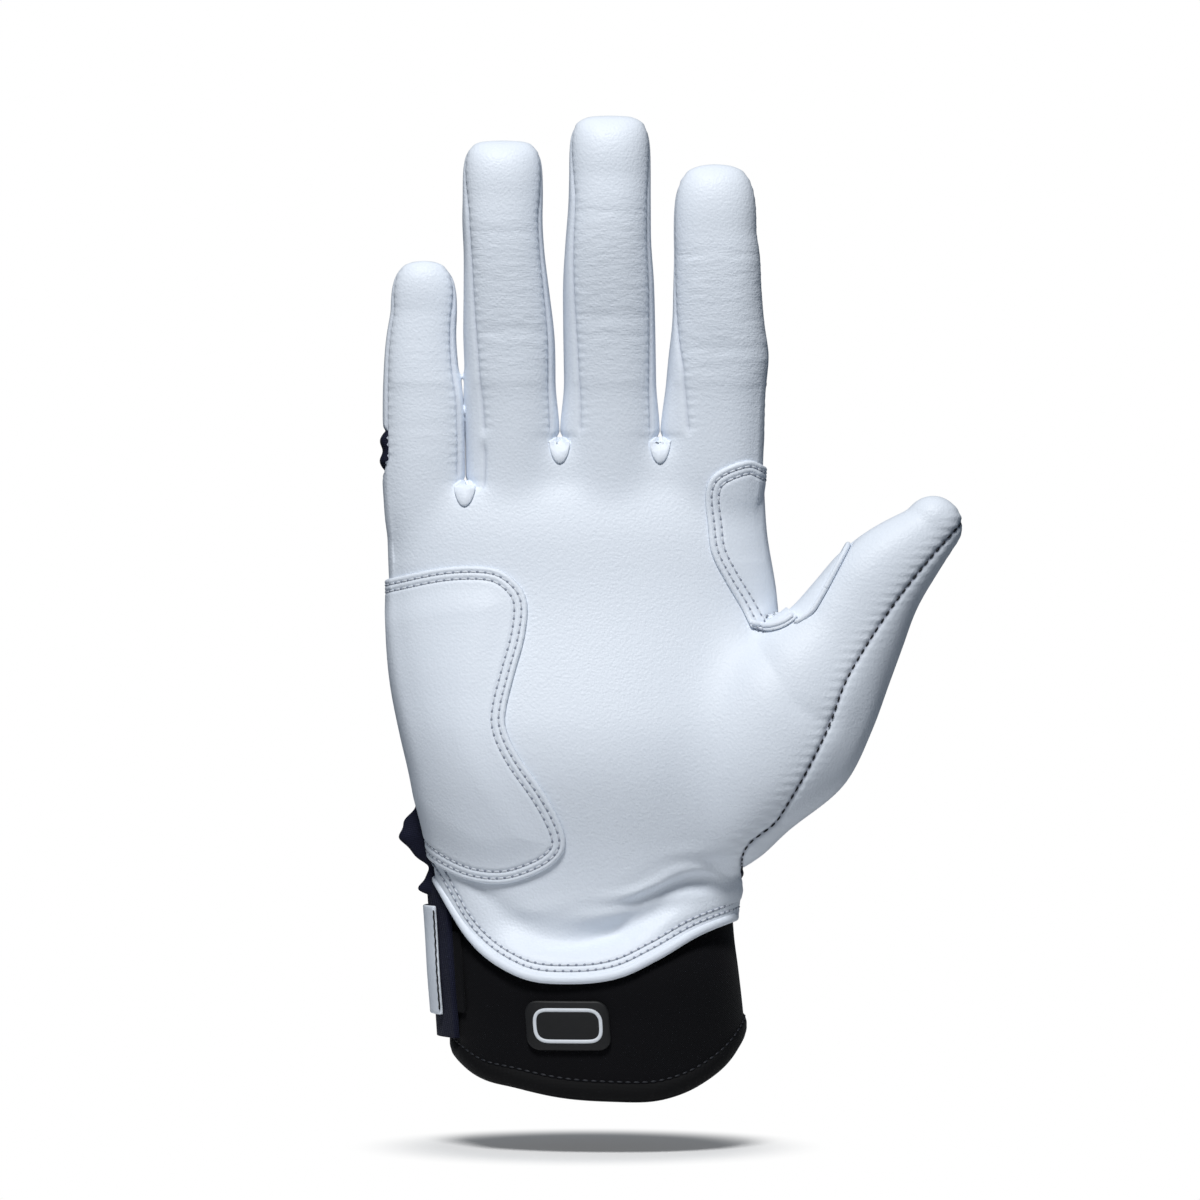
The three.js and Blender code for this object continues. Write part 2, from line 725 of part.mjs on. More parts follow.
addPart(
  'strap_hook_patch',
  wrap(
    loopOut + seamGap,
    hookOut,
    rectangle(loop.from + hookInset, loop.to - hookInset, loop.low + hookInset, loop.high - hookInset),
    0,
  ),
  'hook',
);

// Joint axes: every stall folds about its palm face, the strap about its sewn edge
const joints = {};
for (const f of fingers) {
  joints[`${f.name}_root`] = { point: [f.centre, -f.rootDepth / 2, f.rootZ], axis: [1, 0, 0] };
  joints[`${f.name}_knuckle`] = {
    point: [f.centre + f.knuckleShift, -f.knuckleDepth / 2 - knuckleForward, f.knuckleZ], axis: [1, 0, 0],
  };
}
const thumbAcross = new THREE.Vector3(1, 0, 0).transformDirection(thumbFrame).toArray();
for (const [name, z] of [['thumb_root', thumbRoot], ['thumb_joint', thumbJoint]]) {
  const face = new THREE.Vector3(0, sectionAt(thumbSections, z).front, z);
  joints[name] = { point: face.applyMatrix4(thumbFrame).toArray(), axis: thumbAcross };
}

function sewnPoint(z) {
  const s = grow(sectionAt(cuffSections, z), faceOut + hingeProud);
  const share = (strapEdge - (s.front + s.back) / 2) / ((s.back - s.front) / 2);
  const reach = (1 - Math.abs(share) ** s.square) ** (1 / s.square);
  return new THREE.Vector3((s.left + s.right) / 2 - (s.right - s.left) / 2 * reach, strapEdge, z);
}
const sewnLow = sewnPoint(strapLow + faceInset);
const sewnHigh = sewnPoint(strapHigh - faceInset);
joints.strap_edge = { point: sewnLow.toArray(), axis: sewnHigh.clone().sub(sewnLow).normalize().toArray() };
glove.userData.joints = joints;

export default glove;
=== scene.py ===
import json
import math

import bmesh
import bpy
import numpy as np
from mathutils import Matrix, Vector, noise
from mathutils.bvhtree import BVHTree


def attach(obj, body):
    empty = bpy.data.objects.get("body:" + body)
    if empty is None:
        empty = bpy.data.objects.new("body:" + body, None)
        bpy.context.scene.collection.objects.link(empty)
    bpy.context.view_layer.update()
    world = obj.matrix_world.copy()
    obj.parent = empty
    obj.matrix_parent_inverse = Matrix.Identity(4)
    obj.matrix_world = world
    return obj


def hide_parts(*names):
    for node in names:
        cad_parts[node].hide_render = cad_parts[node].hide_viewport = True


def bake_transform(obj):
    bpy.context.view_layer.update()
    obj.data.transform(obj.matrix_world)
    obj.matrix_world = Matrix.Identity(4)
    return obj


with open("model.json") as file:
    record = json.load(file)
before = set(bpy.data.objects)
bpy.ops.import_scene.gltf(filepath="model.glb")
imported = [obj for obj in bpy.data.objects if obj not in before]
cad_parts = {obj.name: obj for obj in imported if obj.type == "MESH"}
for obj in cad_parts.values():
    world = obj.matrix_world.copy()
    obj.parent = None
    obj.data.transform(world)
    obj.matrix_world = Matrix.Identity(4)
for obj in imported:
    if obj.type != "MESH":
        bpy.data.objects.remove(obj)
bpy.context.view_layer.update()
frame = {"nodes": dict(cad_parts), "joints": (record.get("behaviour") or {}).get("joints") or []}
scene = bpy.context.scene
toMetres = 0.001  # pieces are shaped in millimetres and scaled once they are finished
joints = {j["name"]: j for j in frame["joints"]}


def jointHeight(name):
    return joints[name]["pos_m"][2] / toMetres


# Shader maths: a socket that takes part in sums
class Wire:
    def __init__(self, tree, socket=None):
        self.tree = tree
        self.socket = socket

    def node(self, kind, settings={}, inputs={}, out=0):
        made = self.tree.nodes.new(kind)
        for key, value in settings.items():
            setattr(made, key, value)
        for key, value in inputs.items():
            if isinstance(value, Wire):
                self.tree.links.new(value.socket, made.inputs[key])
            else:
                made.inputs[key].default_value = value
        return Wire(self.tree, made.outputs[out]) if len(made.outputs) else None

    def maths(self, operation, first, second=0.0):
        return self.node("ShaderNodeMath", {"operation": operation}, {0: first, 1: second})

    def __add__(self, other):
        return self.maths("ADD", self, other)

    def __radd__(self, other):
        return self.maths("ADD", other, self)

    def __sub__(self, other):
        return self.maths("SUBTRACT", self, other)

    def __rsub__(self, other):
        return self.maths("SUBTRACT", other, self)

    def __mul__(self, other):
        return self.maths("MULTIPLY", self, other)

    def __rmul__(self, other):
        return self.maths("MULTIPLY", other, self)

    def mix(self, first, second):
        return self.node("ShaderNodeMix", {"data_type": "RGBA"}, {0: self, 6: first, 7: second}, out=2)


def newMaterial(name):
    material = bpy.data.materials.new(name)
    material.use_nodes = True
    material.node_tree.nodes.clear()
    return material, Wire(material.node_tree)


def asColour(tone):
    return (*tone, 1)


# Camera, lamps, floor
view = {"pixels": 1200, "mmPerPixel": 0.245, "middle": (2.9, 118.8), "distance": 1600, "plane": -10}
studio = {"floor": -16, "reach": 0.17, "pool": (0.032, 0.06), "lift": 0.15, "ambient": 0.09,
          "aim": (0, 0, 0.11), "keyPlace": (-0.15, -0.86, 1.22), "keySize": 0.42, "keyPower": 19.0,
          "frontPlace": (0.25, -1.3, 0.35), "frontSize": 0.8, "frontPower": 0.15}


def makeCamera():
    lens = bpy.data.cameras.new("camera")
    lens.sensor_width = 36
    lens.lens = lens.sensor_width * view["distance"] / (view["pixels"] * view["mmPerPixel"])
    lens.clip_end = 20
    camera = bpy.data.objects.new("camera", lens)
    across, up = view["middle"]
    camera.location = Vector((across, view["plane"] - view["distance"], up)) * toMetres
    camera.rotation_euler = (math.radians(90), 0, 0)
    scene.collection.objects.link(camera)
    scene.camera = camera


def makeLamp(kind):
    light = bpy.data.lights.new(kind + "Lamp", "AREA")
    light.shape = "DISK"
    light.size = studio[kind + "Size"]
    light.energy = studio[kind + "Power"]
    lamp = bpy.data.objects.new(kind + "Lamp", light)
    lamp.location = studio[kind + "Place"]
    away = Vector(studio[kind + "Place"]) - Vector(studio["aim"])
    lamp.rotation_euler = away.to_track_quat("Z", "Y").to_euler()
    scene.collection.objects.link(lamp)


def makeStage():
    scene.view_settings.view_transform = "Standard"
    world = bpy.data.worlds.new("studio")
    scene.world = world
    world.use_nodes = True
    world.node_tree.nodes.clear()
    air = Wire(world.node_tree)
    rays = "ShaderNodeLightPath"
    seen = air.node(rays, out=0) + air.node(rays, out=6)
    soft = air.node("ShaderNodeBackground", {}, {"Color": (0.6, 0.78, 1, 1), "Strength": studio["ambient"]})
    white = air.node("ShaderNodeBackground", {}, {"Color": (1, 1, 1, 1), "Strength": 1.0})
    both = air.node("ShaderNodeMixShader", {}, {0: seen, 1: soft, 2: white})
    air.node("ShaderNodeOutputWorld", {}, {"Surface": both})

    bm = bmesh.new()
    down = Matrix.Translation((0, 0, studio["floor"] * toMetres))
    bmesh.ops.create_circle(bm, cap_ends=True, segments=64, radius=studio["reach"], matrix=down)
    mesh = bpy.data.meshes.new("floor")
    bm.to_mesh(mesh)
    bm.free()
    floor = bpy.data.objects.new("floor", mesh)
    scene.collection.objects.link(floor)
    material, paint = newMaterial("paleFloor")
    place = paint.node("ShaderNodeTexCoord", out=3)
    flat = paint.node("ShaderNodeVectorMath", {"operation": "MULTIPLY"}, {0: place, 1: (1, 1, 0)})
    far = paint.node("ShaderNodeVectorMath", {"operation": "LENGTH"}, {0: flat}, out=1)
    near, edge = studio["pool"]
    away = paint.node("ShaderNodeMapRange", {"interpolation_type": "SMOOTHSTEP"},
                      {"Value": far, "From Min": near, "From Max": edge})
    seen = paint.node(rays, out=0)
    lit = paint.node("ShaderNodeBsdfDiffuse", {}, {"Color": (0.9, 0.9, 0.9, 1)})
    glow = paint.node("ShaderNodeEmission", {}, {"Color": (1, 1, 1, 1), "Strength": 1.0})
    lift = paint.node("ShaderNodeMixShader", {}, {0: seen * studio["lift"], 1: lit, 2: glow})
    both = paint.node("ShaderNodeMixShader", {}, {0: away * seen, 1: lift, 2: glow})
    paint.node("ShaderNodeOutputMaterial", {}, {"Surface": both})
    mesh.materials.append(material)
    makeLamp("key")
    makeLamp("front")


makeCamera()
makeStage()
print("stage ready")


# Finishes
# the seam tone is painted shade: the leather is darkened towards it in its seam grooves
leatherLook = {"white": (0.826, 0.877, 0.95), "cool": (0.754, 0.818, 0.908), "seam": (0.30, 0.33, 0.41),
               "roughness": 0.5, "grain": 1500, "wrinkle": (330, 330, 1500), "depth": 0.00022}


def leather(name, grainShare, wrinkleShare):
    look = leatherLook
    material, wire = newMaterial(name)
    place = wire.node("ShaderNodeTexCoord", out=3)
    seam = wire.node("ShaderNodeAttribute", {"attribute_name": "seam"}, out=2)
    crease = wire.node("ShaderNodeAttribute", {"attribute_name": "crease"}, out=2)
    patchy = wire.node("ShaderNodeTexNoise", {}, {"Vector": place, "Scale": 32.0, "Detail": 3.0})
    pebble = wire.node("ShaderNodeTexVoronoi", {"feature": "SMOOTH_F1"},
                       {"Vector": place, "Scale": look["grain"], "Smoothness": 0.6})
    pore = wire.node("ShaderNodeTexNoise", {}, {"Vector": place, "Scale": look["grain"] * 0.9, "Detail": 3.0})
    drawn = wire.node("ShaderNodeMapping", {}, {"Vector": place, "Scale": look["wrinkle"]})
    ridge = wire.node("ShaderNodeTexNoise", {},
                      {"Vector": drawn, "Scale": 1.0, "Detail": 2.5, "Distortion": 0.7})
    height = pebble * (0.35 * grainShare) + pore * (0.45 * grainShare)
    height = height + ridge * (crease * 0.6 + 0.15) * wrinkleShare
    tone = (patchy * 0.55 + (1 - pore) * 0.25).mix(asColour(look["white"]), asColour(look["cool"]))
    # painted shade: the seam attribute darkens the leather in the seam grooves
    tone = seam.mix(tone, asColour(look["seam"]))
    rough = look["roughness"] + (pore - 0.5) * 0.16 + seam * 0.1
    bump = wire.node("ShaderNodeBump", {}, {"Strength": 0.75, "Distance": look["depth"], "Height": height})
    shader = wire.node("ShaderNodeBsdfPrincipled", {}, {
        "Base Color": tone, "Roughness": rough, "Normal": bump, "Specular IOR Level": 0.35})
    wire.node("ShaderNodeOutputMaterial", {}, {"Surface": shader})
    return material


def weave(name, thread, gap, pitch, roughness, depth, slant=0.0):
    material, wire = newMaterial(name)
    place = wire.node("ShaderNodeTexCoord", out=3)
    turned = wire.node("ShaderNodeMapping", {}, {"Vector": place, "Rotation": (0, slant, 0)})
    part = wire.node("ShaderNodeSeparateXYZ", {}, {0: turned}, out=0)
    rise = wire.node("ShaderNodeSeparateXYZ", {}, {0: turned}, out=2)
    turnsPerMetre = 2 * math.pi / (pitch * toMetres)
    warp = wire.maths("SINE", part * turnsPerMetre) * wire.maths("SINE", rise * turnsPerMetre)
    fuzz = wire.node("ShaderNodeTexNoise", {}, {"Vector": place, "Scale": 2600.0, "Detail": 3.0})
    worn = wire.node("ShaderNodeTexNoise", {}, {"Vector": place, "Scale": 60.0, "Detail": 3.0})
    height = warp * 0.5 + fuzz * 0.5
    tone = (height * 0.5 + worn * 0.5).mix(asColour(gap), asColour(thread))
    bump = wire.node("ShaderNodeBump", {}, {"Strength": 0.8, "Distance": depth * toMetres, "Height": height})
    shader = wire.node("ShaderNodeBsdfPrincipled", {}, {
        "Base Color": tone, "Roughness": roughness + (fuzz - 0.5) * 0.1, "Normal": bump,
        "Specular IOR Level": 0.14, "Sheen Weight": 0.04, "Sheen Roughness": 0.4})
    wire.node("ShaderNodeOutputMaterial", {}, {"Surface": shader})
    return material


def moulded(name, tone, dull, roughness, scale):
    material, wire = newMaterial(name)
    place = wire.node("ShaderNodeTexCoord", out=3)
    speck = wire.node("ShaderNodeTexNoise", {}, {"Vector": place, "Scale": scale, "Detail": 4.0})
    bump = wire.node("ShaderNodeBump", {}, {"Strength": 0.4, "Distance": 0.00008, "Height": speck})
    shader = wire.node("ShaderNodeBsdfPrincipled", {}, {
        "Base Color": speck.mix(asColour(tone), asColour(dull)), "Roughness": roughness + (speck - 0.5) * 0.2,
        "Normal": bump, "Specular IOR Level": 0.4})
    wire.node("ShaderNodeOutputMaterial", {}, {"Surface": shader})
    return material


looks = {
    "frontLeather": (leather, 1.0, 1.0),
    "plainLeather": (leather, 0.8, 0.3),
    "navyStretch": (weave, (0.016, 0.018, 0.042), (0.004, 0.005, 0.013), 0.7, 0.72, 0.12, 0.6),
    "blackKnit": (weave, (0.0034, 0.0035, 0.0052), (0.001, 0.001, 0.0016), 0.55, 0.85, 0.1),
    "blackBinding": (weave, (0.0032, 0.0033, 0.0042), (0.001, 0.001, 0.0014), 0.45, 0.65, 0.08, 0.8),
    "whiteThread": (moulded, (0.74, 0.77, 0.82), (0.55, 0.59, 0.66), 0.6, 5200),
    "darkThread": (moulded, (0.014, 0.015, 0.022), (0.005, 0.006, 0.01), 0.55, 5200),
    "holeShade": (moulded, (0.22, 0.25, 0.32), (0.3, 0.33, 0.4), 0.7, 3000),
    "blackRubber": (moulded, (0.003, 0.0032, 0.004), (0.006, 0.0062, 0.007), 0.55, 900),
    "whiteRubber": (moulded, (0.72, 0.75, 0.79), (0.62, 0.66, 0.71), 0.42, 900),
    "elasticWeb": (weave, (0.66, 0.68, 0.71), (0.42, 0.44, 0.48), 0.9, 0.8, 0.2),
    "hookPile": (weave, (0.022, 0.022, 0.026), (0.004, 0.004, 0.005), 1.0, 0.6, 0.45, 0.78),
}
finishes = {name: make(name, *values) for name, (make, *values) in looks.items()}
print("finishes ready")


# Curves through a few keys, and rounded sections
def throughKeys(keys, at):
    keys = np.array(keys, float)
    t, v = keys[:, 0], keys[:, 1:]
    at = np.clip(np.asarray(at, float), t[0], t[-1])
    slope = np.gradient(v, t, axis=0)
    i = np.clip(np.searchsorted(t, at, side="right") - 1, 0, len(t) - 2)
    h = (t[i + 1] - t[i])[..., None]
    s = (at - t[i])[..., None] / h
    start = (2 * s**3 - 3 * s**2 + 1) * v[i] + (s**3 - 2 * s**2 + s) * h * slope[i]
    return start + (3 * s**2 - 2 * s**3) * v[i + 1] + (s**3 - s**2) * h * slope[i + 1]


def keyAt(keys, at):
    return throughKeys(keys, np.array([float(at)]))[0]


def roundPoint(left, right, front, back, square, turn):
    c, s = math.cos(turn), math.sin(turn)
    x = (left + right) / 2 + (right - left) / 2 * math.copysign(abs(c) ** (2 / square), c)
    y = (front + back) / 2 + (back - front) / 2 * math.copysign(abs(s) ** (2 / square), s)
    return x, y


def smoothStep(value, low, high):
    t = np.clip((value - low) / (high - low), 0, 1)
    return t * t * (3 - 2 * t)


def hump(value, middle, width):
    return np.exp(-((value - middle) / width) ** 2)


def window(value, low, full, fading, high):
    return smoothStep(value, low, full) * (1 - smoothStep(value, fading, high))


def domed(share, power):
    return (1 - share**power) ** (1 / power) if share < 1 else 0.0


# The worn shape: hand, finger stalls and thumb as sections, fused into one skin
fingerShape = {  # height, left, right, front, back
    "little": {
        "keys": [(118, -46.5, -33, -4, 5), (140, -50.3, -31.2, -8.2, 8.2), (147, -50.7, -31, -8.4, 8.2),
                 (160, -50.7, -31.1, -8.1, 7.8), (172, -50.6, -31.6, -7.2, 7), (184, -49.8, -32.5, -5.9, 6.4),
                 (190, -48.8, -32.3, -5.2, 5.8)],
        "tip": 202.7, "blunt": 2.9, "square": 2.3, "leans": 1,
        "side": (-70, -30.3), "split": 147.5, "rootEnd": 150.5},
    "ring": {
        "keys": [(140, -29.6, -7.8, -9.2, 9.2), (158, -29.7, -7.8, -9.4, 9.2), (170, -30.2, -8, -9.7, 9),
                 (184, -30.8, -8.3, -10.4, 8.4), (195, -30.7, -9.6, -11.3, 7.2), (205, -30.7, -10.8, -12, 6),
                 (212, -31, -11.2, -12.1, 5.2), (218, -30.9, -11.1, -11.8, 4.8)],
        "tip": 231.9, "blunt": 4.4, "square": 2.4, "leans": -1,
        "side": (-30.3, -7), "split": 158.5, "rootEnd": 170},
    "middle": {
        "keys": [(140, -6.2, 17, -9.5, 9.5), (158, -6.2, 17, -9.6, 9.4), (170, -6, 16.8, -9.9, 9.2),
                 (187, -6.2, 16.5, -11.5, 8.5), (197, -6.2, 16.2, -13, 7.2), (207, -5.6, 15.5, -14.2, 6),
                 (216, -4.9, 15.4, -14.2, 5.1), (223, -4.7, 15.4, -13.5, 4.6)],
        "tip": 237.9, "blunt": 4.6, "square": 2.4, "leans": 0,
        "side": (-7, 17.6), "split": 158.5, "rootEnd": 171},
    "index": {
        "keys": [(126, 22, 36, -4, 5), (148, 18.3, 42.8, -9.4, 9.4), (158, 18.4, 43.4, -9.6, 9.4),
                 (170, 19, 43.9, -9.9, 9.2), (180, 19.9, 44.6, -10.6, 8.6), (186, 20.6, 43.7, -11.1, 8),
                 (196, 20.9, 42.8, -11.8, 6.8), (204, 21, 42.4, -12, 5.8), (209, 20.9, 41.6, -11.8, 5)],
        "tip": 226.1, "blunt": 3.2, "square": 2.4, "leans": 0,
        "side": (17.6, 60), "split": 158.5, "rootEnd": 168},
}
kneeReach = (6, 8)  # how far the bend at the middle knuckle spreads below and above its joint
flexLength = 10  # ribbed insert over the back of the knuckle
flexInset = {"little": 0.0, "ring": 0.0, "middle": 0.0, "index": 4.0}
for name, shape in fingerShape.items():
    shape["knuckle"] = jointHeight(name + "_knuckle_bend")
    shape["kneeStart"] = shape["knuckle"] - kneeReach[0]
    shape["kneeEnd"] = shape["knuckle"] + kneeReach[1]
    shape["flex"] = (shape["knuckle"] - flexLength, shape["knuckle"])

handKeys = [  # height, left, right, front, back
    (20, -36.0, 37.9, -26.2, 25.5), (28, -36.5, 37.7, -25.6, 25.4), (32, -36.8, 37.6, -23.4, 25.3),
    (37, -37.1, 37.5, -20.3, 25.2), (44, -37.5, 37.4, -19.9, 25.0), (50, -38.0, 37.8, -20.6, 24.4),
    (58, -39.2, 39.0, -22.5, 23.0), (66, -40.4, 41.2, -24.9, 21.8), (76, -42.1, 43.8, -27.0, 20.2),
    (86, -44.4, 45.6, -26.4, 19.0), (97, -46.7, 46.0, -22.8, 17.8), (120, -49.0, 45.4, -15.2, 15.8),
    (136, -49.7, 43.0, -12.0, 13.4), (146, -50.0, 42.4, -8.8, 9.8),
]
handSquare = 2.55
tipSquare = 2.6  # how full a tip is from front to back
thumbShape = {"lean": 38, "place": (61, 0, 106.4), "shoulder": 38, "round": 8, "blunt": 2.2, "square": 2.2,
              "split": 0.5, "rootEnd": 9, "kneeStart": 11, "kneeEnd": 23, "inside": -17.5, "below": 150}
thumbKeys = [  # along the thumb, left, right, front, back
    (-68, -3, 9, -10, 6), (-58, -8, 14.8, -20, 11), (-42, -16, 17.9, -26.6, 10), (-24, -20, 21.6, -27.2, 7.5),
    (-10, -18.5, 18.8, -24.8, 6), (2, -15.3, 15, -21, 4.5), (10, -14.8, 12.4, -20, 2.5),
    (20, -14.3, 9.2, -19.3, 0.5), (30, -11.5, 7.8, -17.8, -0.5), (38, -7.8, 7.1, -15.6, -1.5),
]
leanSin = math.sin(math.radians(thumbShape["lean"]))
leanCos = math.cos(math.radians(thumbShape["lean"]))
skin = {"voxel": 0.55, "smoothing": 8, "roughVoxel": 1.8, "roughSmoothing": 60, "rootSmoothing": 150,
        "hollowSmoothing": 60, "leather": 1.1, "sideSeam": 1.0, "sideDip": 3.0, "dipAcross": (25, 36),
        "dipUp": (62, 74), "backSplit": 75, "stretchEdge": 46, "slit": 3, "slitHalf": 1.15, "slitStop": 8}
webBlock = {"middle": (6, 0, 146.5), "size": (50, 15, 20.5), "edge": 4}


def tube(bm, rows, square, around, place=Matrix.Identity(4), skew=None):
    steps = len(rows) - 1
    made = bmesh.ops.create_grid(bm, x_segments=around, y_segments=steps, size=0.5)["verts"]
    for v in made:
        z, left, right, front, back, wide, deep = rows[round((v.co.y + 0.5) * steps)]
        x, y = roundPoint(left, right, front, back, square, (v.co.x + 0.5) * 2 * math.pi)
        midX, midY = (left + right) / 2, (front + back) / 2
        if skew:
            x += skew(x - midX, z) * (y - midY) / (front - midY)
        v.co = place @ Vector((midX + (x - midX) * wide, midY + (y - midY) * deep, z))


def stallRows(keys, tip, blunt, spacing=1.2):
    low, shoulder = keys[0][0], keys[-1][0]
    heights = np.linspace(low, shoulder, int((shoulder - low) / spacing))
    body = [(z, *section) for z, section in zip(heights, throughKeys(keys, heights))]
    rows = [(*body[0], 0.0, 0.0)] + [(*row, 1.0, 1.0) for row in body]
    for t in np.sin(np.radians(np.linspace(4, 90, 24))):
        rows.append((shoulder + (tip - shoulder) * t, *body[-1][1:], domed(t, blunt), domed(t, tipSquare)))
    return rows


gapLean = {"shift": 1.0, "top": 176, "fade": 10, "depth": 8.5,
           "drift": [(147, -0.05), (160, -0.15), (172, -0.65), (184, -1.3)]}


def gapShift(z):
    return gapLean["shift"] * (1 - smoothStep(z, gapLean["top"] - gapLean["fade"], gapLean["top"]))


def leaningGap(side):  # the gap of the little and the ring stall slants, so no light shows through it
    return (lambda across, z: (across * side > 0) * gapShift(z)) if side else None


roundedEdges = {"affect": "EDGES", "profile": 0.5, "material": -1}


def wornShape():
    bm = bmesh.new()
    heights = np.linspace(handKeys[0][0], handKeys[-1][0], 90)
    rows = [(z, *section, 1.0, 1.0) for z, section in zip(heights, throughKeys(handKeys, heights))]
    rows = [(*rows[0][:5], 0.0, 0.0)] + rows + [(*rows[-1][:5], 0.0, 0.0)]
    tube(bm, rows, handSquare, 120)
    for shape in fingerShape.values():
        rows = stallRows(shape["keys"], shape["tip"], shape["blunt"])
        tube(bm, rows, shape["square"], 64, skew=leaningGap(shape["leans"]))
    leaning = Matrix.Rotation(math.radians(thumbShape["lean"]), 4, "Y")
    rows = stallRows(thumbKeys, thumbShape["shoulder"] + thumbShape["round"], thumbShape["blunt"])
    tube(bm, rows, thumbShape["square"], 80, Matrix.Translation(thumbShape["place"]) @ leaning)
    block = Matrix.Translation(webBlock["middle"]) @ Matrix.Diagonal((*webBlock["size"], 1))
    cube = bmesh.ops.create_cube(bm, size=1, matrix=block)["verts"]
    edges = list(dict.fromkeys(e for v in cube for e in v.link_edges))
    bmesh.ops.bevel(bm, geom=edges, offset=webBlock["edge"], segments=3, **roundedEdges)
    bmesh.ops.remove_doubles(bm, verts=bm.verts, dist=1e-4)
    bmesh.ops.recalc_face_normals(bm, faces=bm.faces)
    return bm


def coordinates(bm):
    bm.verts.index_update()
    mesh = bpy.data.meshes.new("points")
    bm.to_mesh(mesh)
    co = np.zeros(len(mesh.vertices) * 3)
    mesh.vertices.foreach_get("co", co)
    bpy.data.meshes.remove(mesh)
    return co.reshape(-1, 3)


def smoothed(bm, passes, share=0.5):
    co = coordinates(bm)
    a, b = np.array([(e.verts[0].index, e.verts[1].index) for e in bm.edges]).T
    ways = np.bincount(a, minlength=len(co)) + np.bincount(b, minlength=len(co))
    for _ in range(passes):
        for k in range(3):
            around = np.bincount(a, co[b, k], len(co)) + np.bincount(b, co[a, k], len(co))
            co[:, k] += share * (around / ways - co[:, k])
    for v, place in zip(bm.verts, co):
        v.co = place
    bm.normal_update()


def fused(bm, voxel, passes):
    mesh = bpy.data.meshes.new("fused")
    bm.to_mesh(mesh)
    bm.free()
    holder = bpy.data.objects.new("fused", mesh)
    scene.collection.objects.link(holder)
    remesh = holder.modifiers.new("fuse", "REMESH")
    remesh.mode = "VOXEL"
    remesh.voxel_size = voxel
    whole = bpy.data.meshes.new_from_object(holder.evaluated_get(bpy.context.evaluated_depsgraph_get()))
    bpy.data.objects.remove(holder)
    made = bmesh.new()
    made.from_mesh(whole)
    smoothed(made, passes)
    return made


softening = {"roots": (128, 172), "rootReach": 60, "rootFacing": 0.6, "palmUp": (43, 54, 120, 142),
             "palmFacing": (0.45, 0.8), "hollowAcross": (-6, 6, 40, 47), "hollowUp": (50, 60, 111, 118),
             "hollowFacing": (-0.2, 0.1), "thumbFade": (-12, 2), "corner": 0.8}


def makeSkin():
    soft = softening
    fine = fused(wornShape(), skin["voxel"], skin["smoothing"])
    low, high = soft["roots"]
    reach, facing = soft["rootReach"], soft["rootFacing"]
    roots = np.array([v.normal.y < -facing and low < v.co.z < high and abs(v.co.x) < reach for v in fine.verts])
    smoothed(fine, skin["rootSmoothing"], 0.5 * roots)
    rough = fused(wornShape(), skin["roughVoxel"], skin["roughSmoothing"])
    slack = BVHTree.FromBMesh(rough)  # the palm and the ball of the thumb run into one another softly
    rough.free()
    co = coordinates(fine)
    facing = -np.array([v.normal.y for v in fine.verts])
    pull = window(co[:, 2], *soft["palmUp"]) * smoothStep(facing, *soft["palmFacing"])
    hollow = window(co[:, 0], *soft["hollowAcross"]) * window(co[:, 2], *soft["hollowUp"])
    hollow = hollow * smoothStep(facing, *soft["hollowFacing"])
    pull = np.maximum(pull, hollow) * (1 - smoothStep(thumbAxes(co)[1], *soft["thumbFade"]))
    corner = soft["corner"]
    for v, share in zip(fine.verts, pull):
        if share > 0.01:
            hit = slack.ray_cast(Vector((v.co.x, -80, v.co.z)), Vector((0, 1, 0)))[0]
            if hit:
                step = hit.y - v.co.y  # hollows are filled, and corners hardly taken down
                v.co.y += share * (step if step < 0 else corner * (1 - math.exp(-step / corner)))
    smoothed(fine, skin["hollowSmoothing"], 0.5 * hollow)
    fine.normal_update()
    return fine


# Cuts a mesh along the line where a field is zero, among the points that the mask lets through
def cutAlong(bm, field, mask=None):
    co = coordinates(bm)
    values = field(co)
    allowed = np.ones(len(co), bool) if mask is None else mask(co)
    values = values.tolist()
    allowed = allowed.tolist()
    onLine = set()
    nearEnd = 0.22
    crossing = []
    bm.verts.ensure_lookup_table()
    for i in np.nonzero(allowed)[0].tolist():
        for e in bm.verts[i].link_edges:
            other = e.other_vert(bm.verts[i]).index
            if other > i and allowed[other] and values[i] * values[other] < 0:
                crossing.append(e)
    for e in crossing:
        a, b = e.verts
        va, vb = values[a.index], values[b.index]
        if va * vb >= 0:
            continue
        share = va / (va - vb)
        if share < nearEnd:
            a.co = a.co.lerp(b.co, share)
            values[a.index] = 0.0
            onLine.add(a)
        elif share > 1 - nearEnd:
            b.co = a.co.lerp(b.co, share)
            values[b.index] = 0.0
            onLine.add(b)
    for e in crossing:
        a, b = e.verts
        va, vb = values[a.index], values[b.index]
        if va * vb < 0:
            onLine.add(bmesh.utils.edge_split(e, a, va / (va - vb))[1])
    bmesh.ops.connect_verts(bm, verts=list(onLine))


# Where things are on the skin
def thumbAxes(co):
    dx = co[:, 0] - thumbShape["place"][0]
    dz = co[:, 2] - thumbShape["place"][2]
    return dx * leanCos - dz * leanSin, dx * leanSin + dz * leanCos


hair = 1e-3


def borderOf(place, co):  # between two stalls; the border of the little and the ring stall leans with their gap
    if place != fingerShape["little"]["side"][1]:
        return place
    drift = np.interp(co[:, 2], *zip(*gapLean["drift"]))
    return place + drift + gapShift(co[:, 2]) * np.clip(-co[:, 1] / gapLean["depth"], -1, 1)


def inFinger(name):
    shape = fingerShape[name]
    low, high = shape["side"]

    def found(co):
        between = (co[:, 0] > borderOf(low, co)) & (co[:, 0] < borderOf(high, co))
        return between & (co[:, 2] > shape["split"] - hair)
    return found


def inThumb(co):
    across, along = thumbAxes(co)
    beyond = (along > thumbShape["split"] - hair) & (across > thumbShape["inside"])
    return beyond & (co[:, 2] < thumbShape["below"])


def anyFinger(co):
    found = inThumb(co)
    for name in fingerShape:
        found |= inFinger(name)(co)
    return found


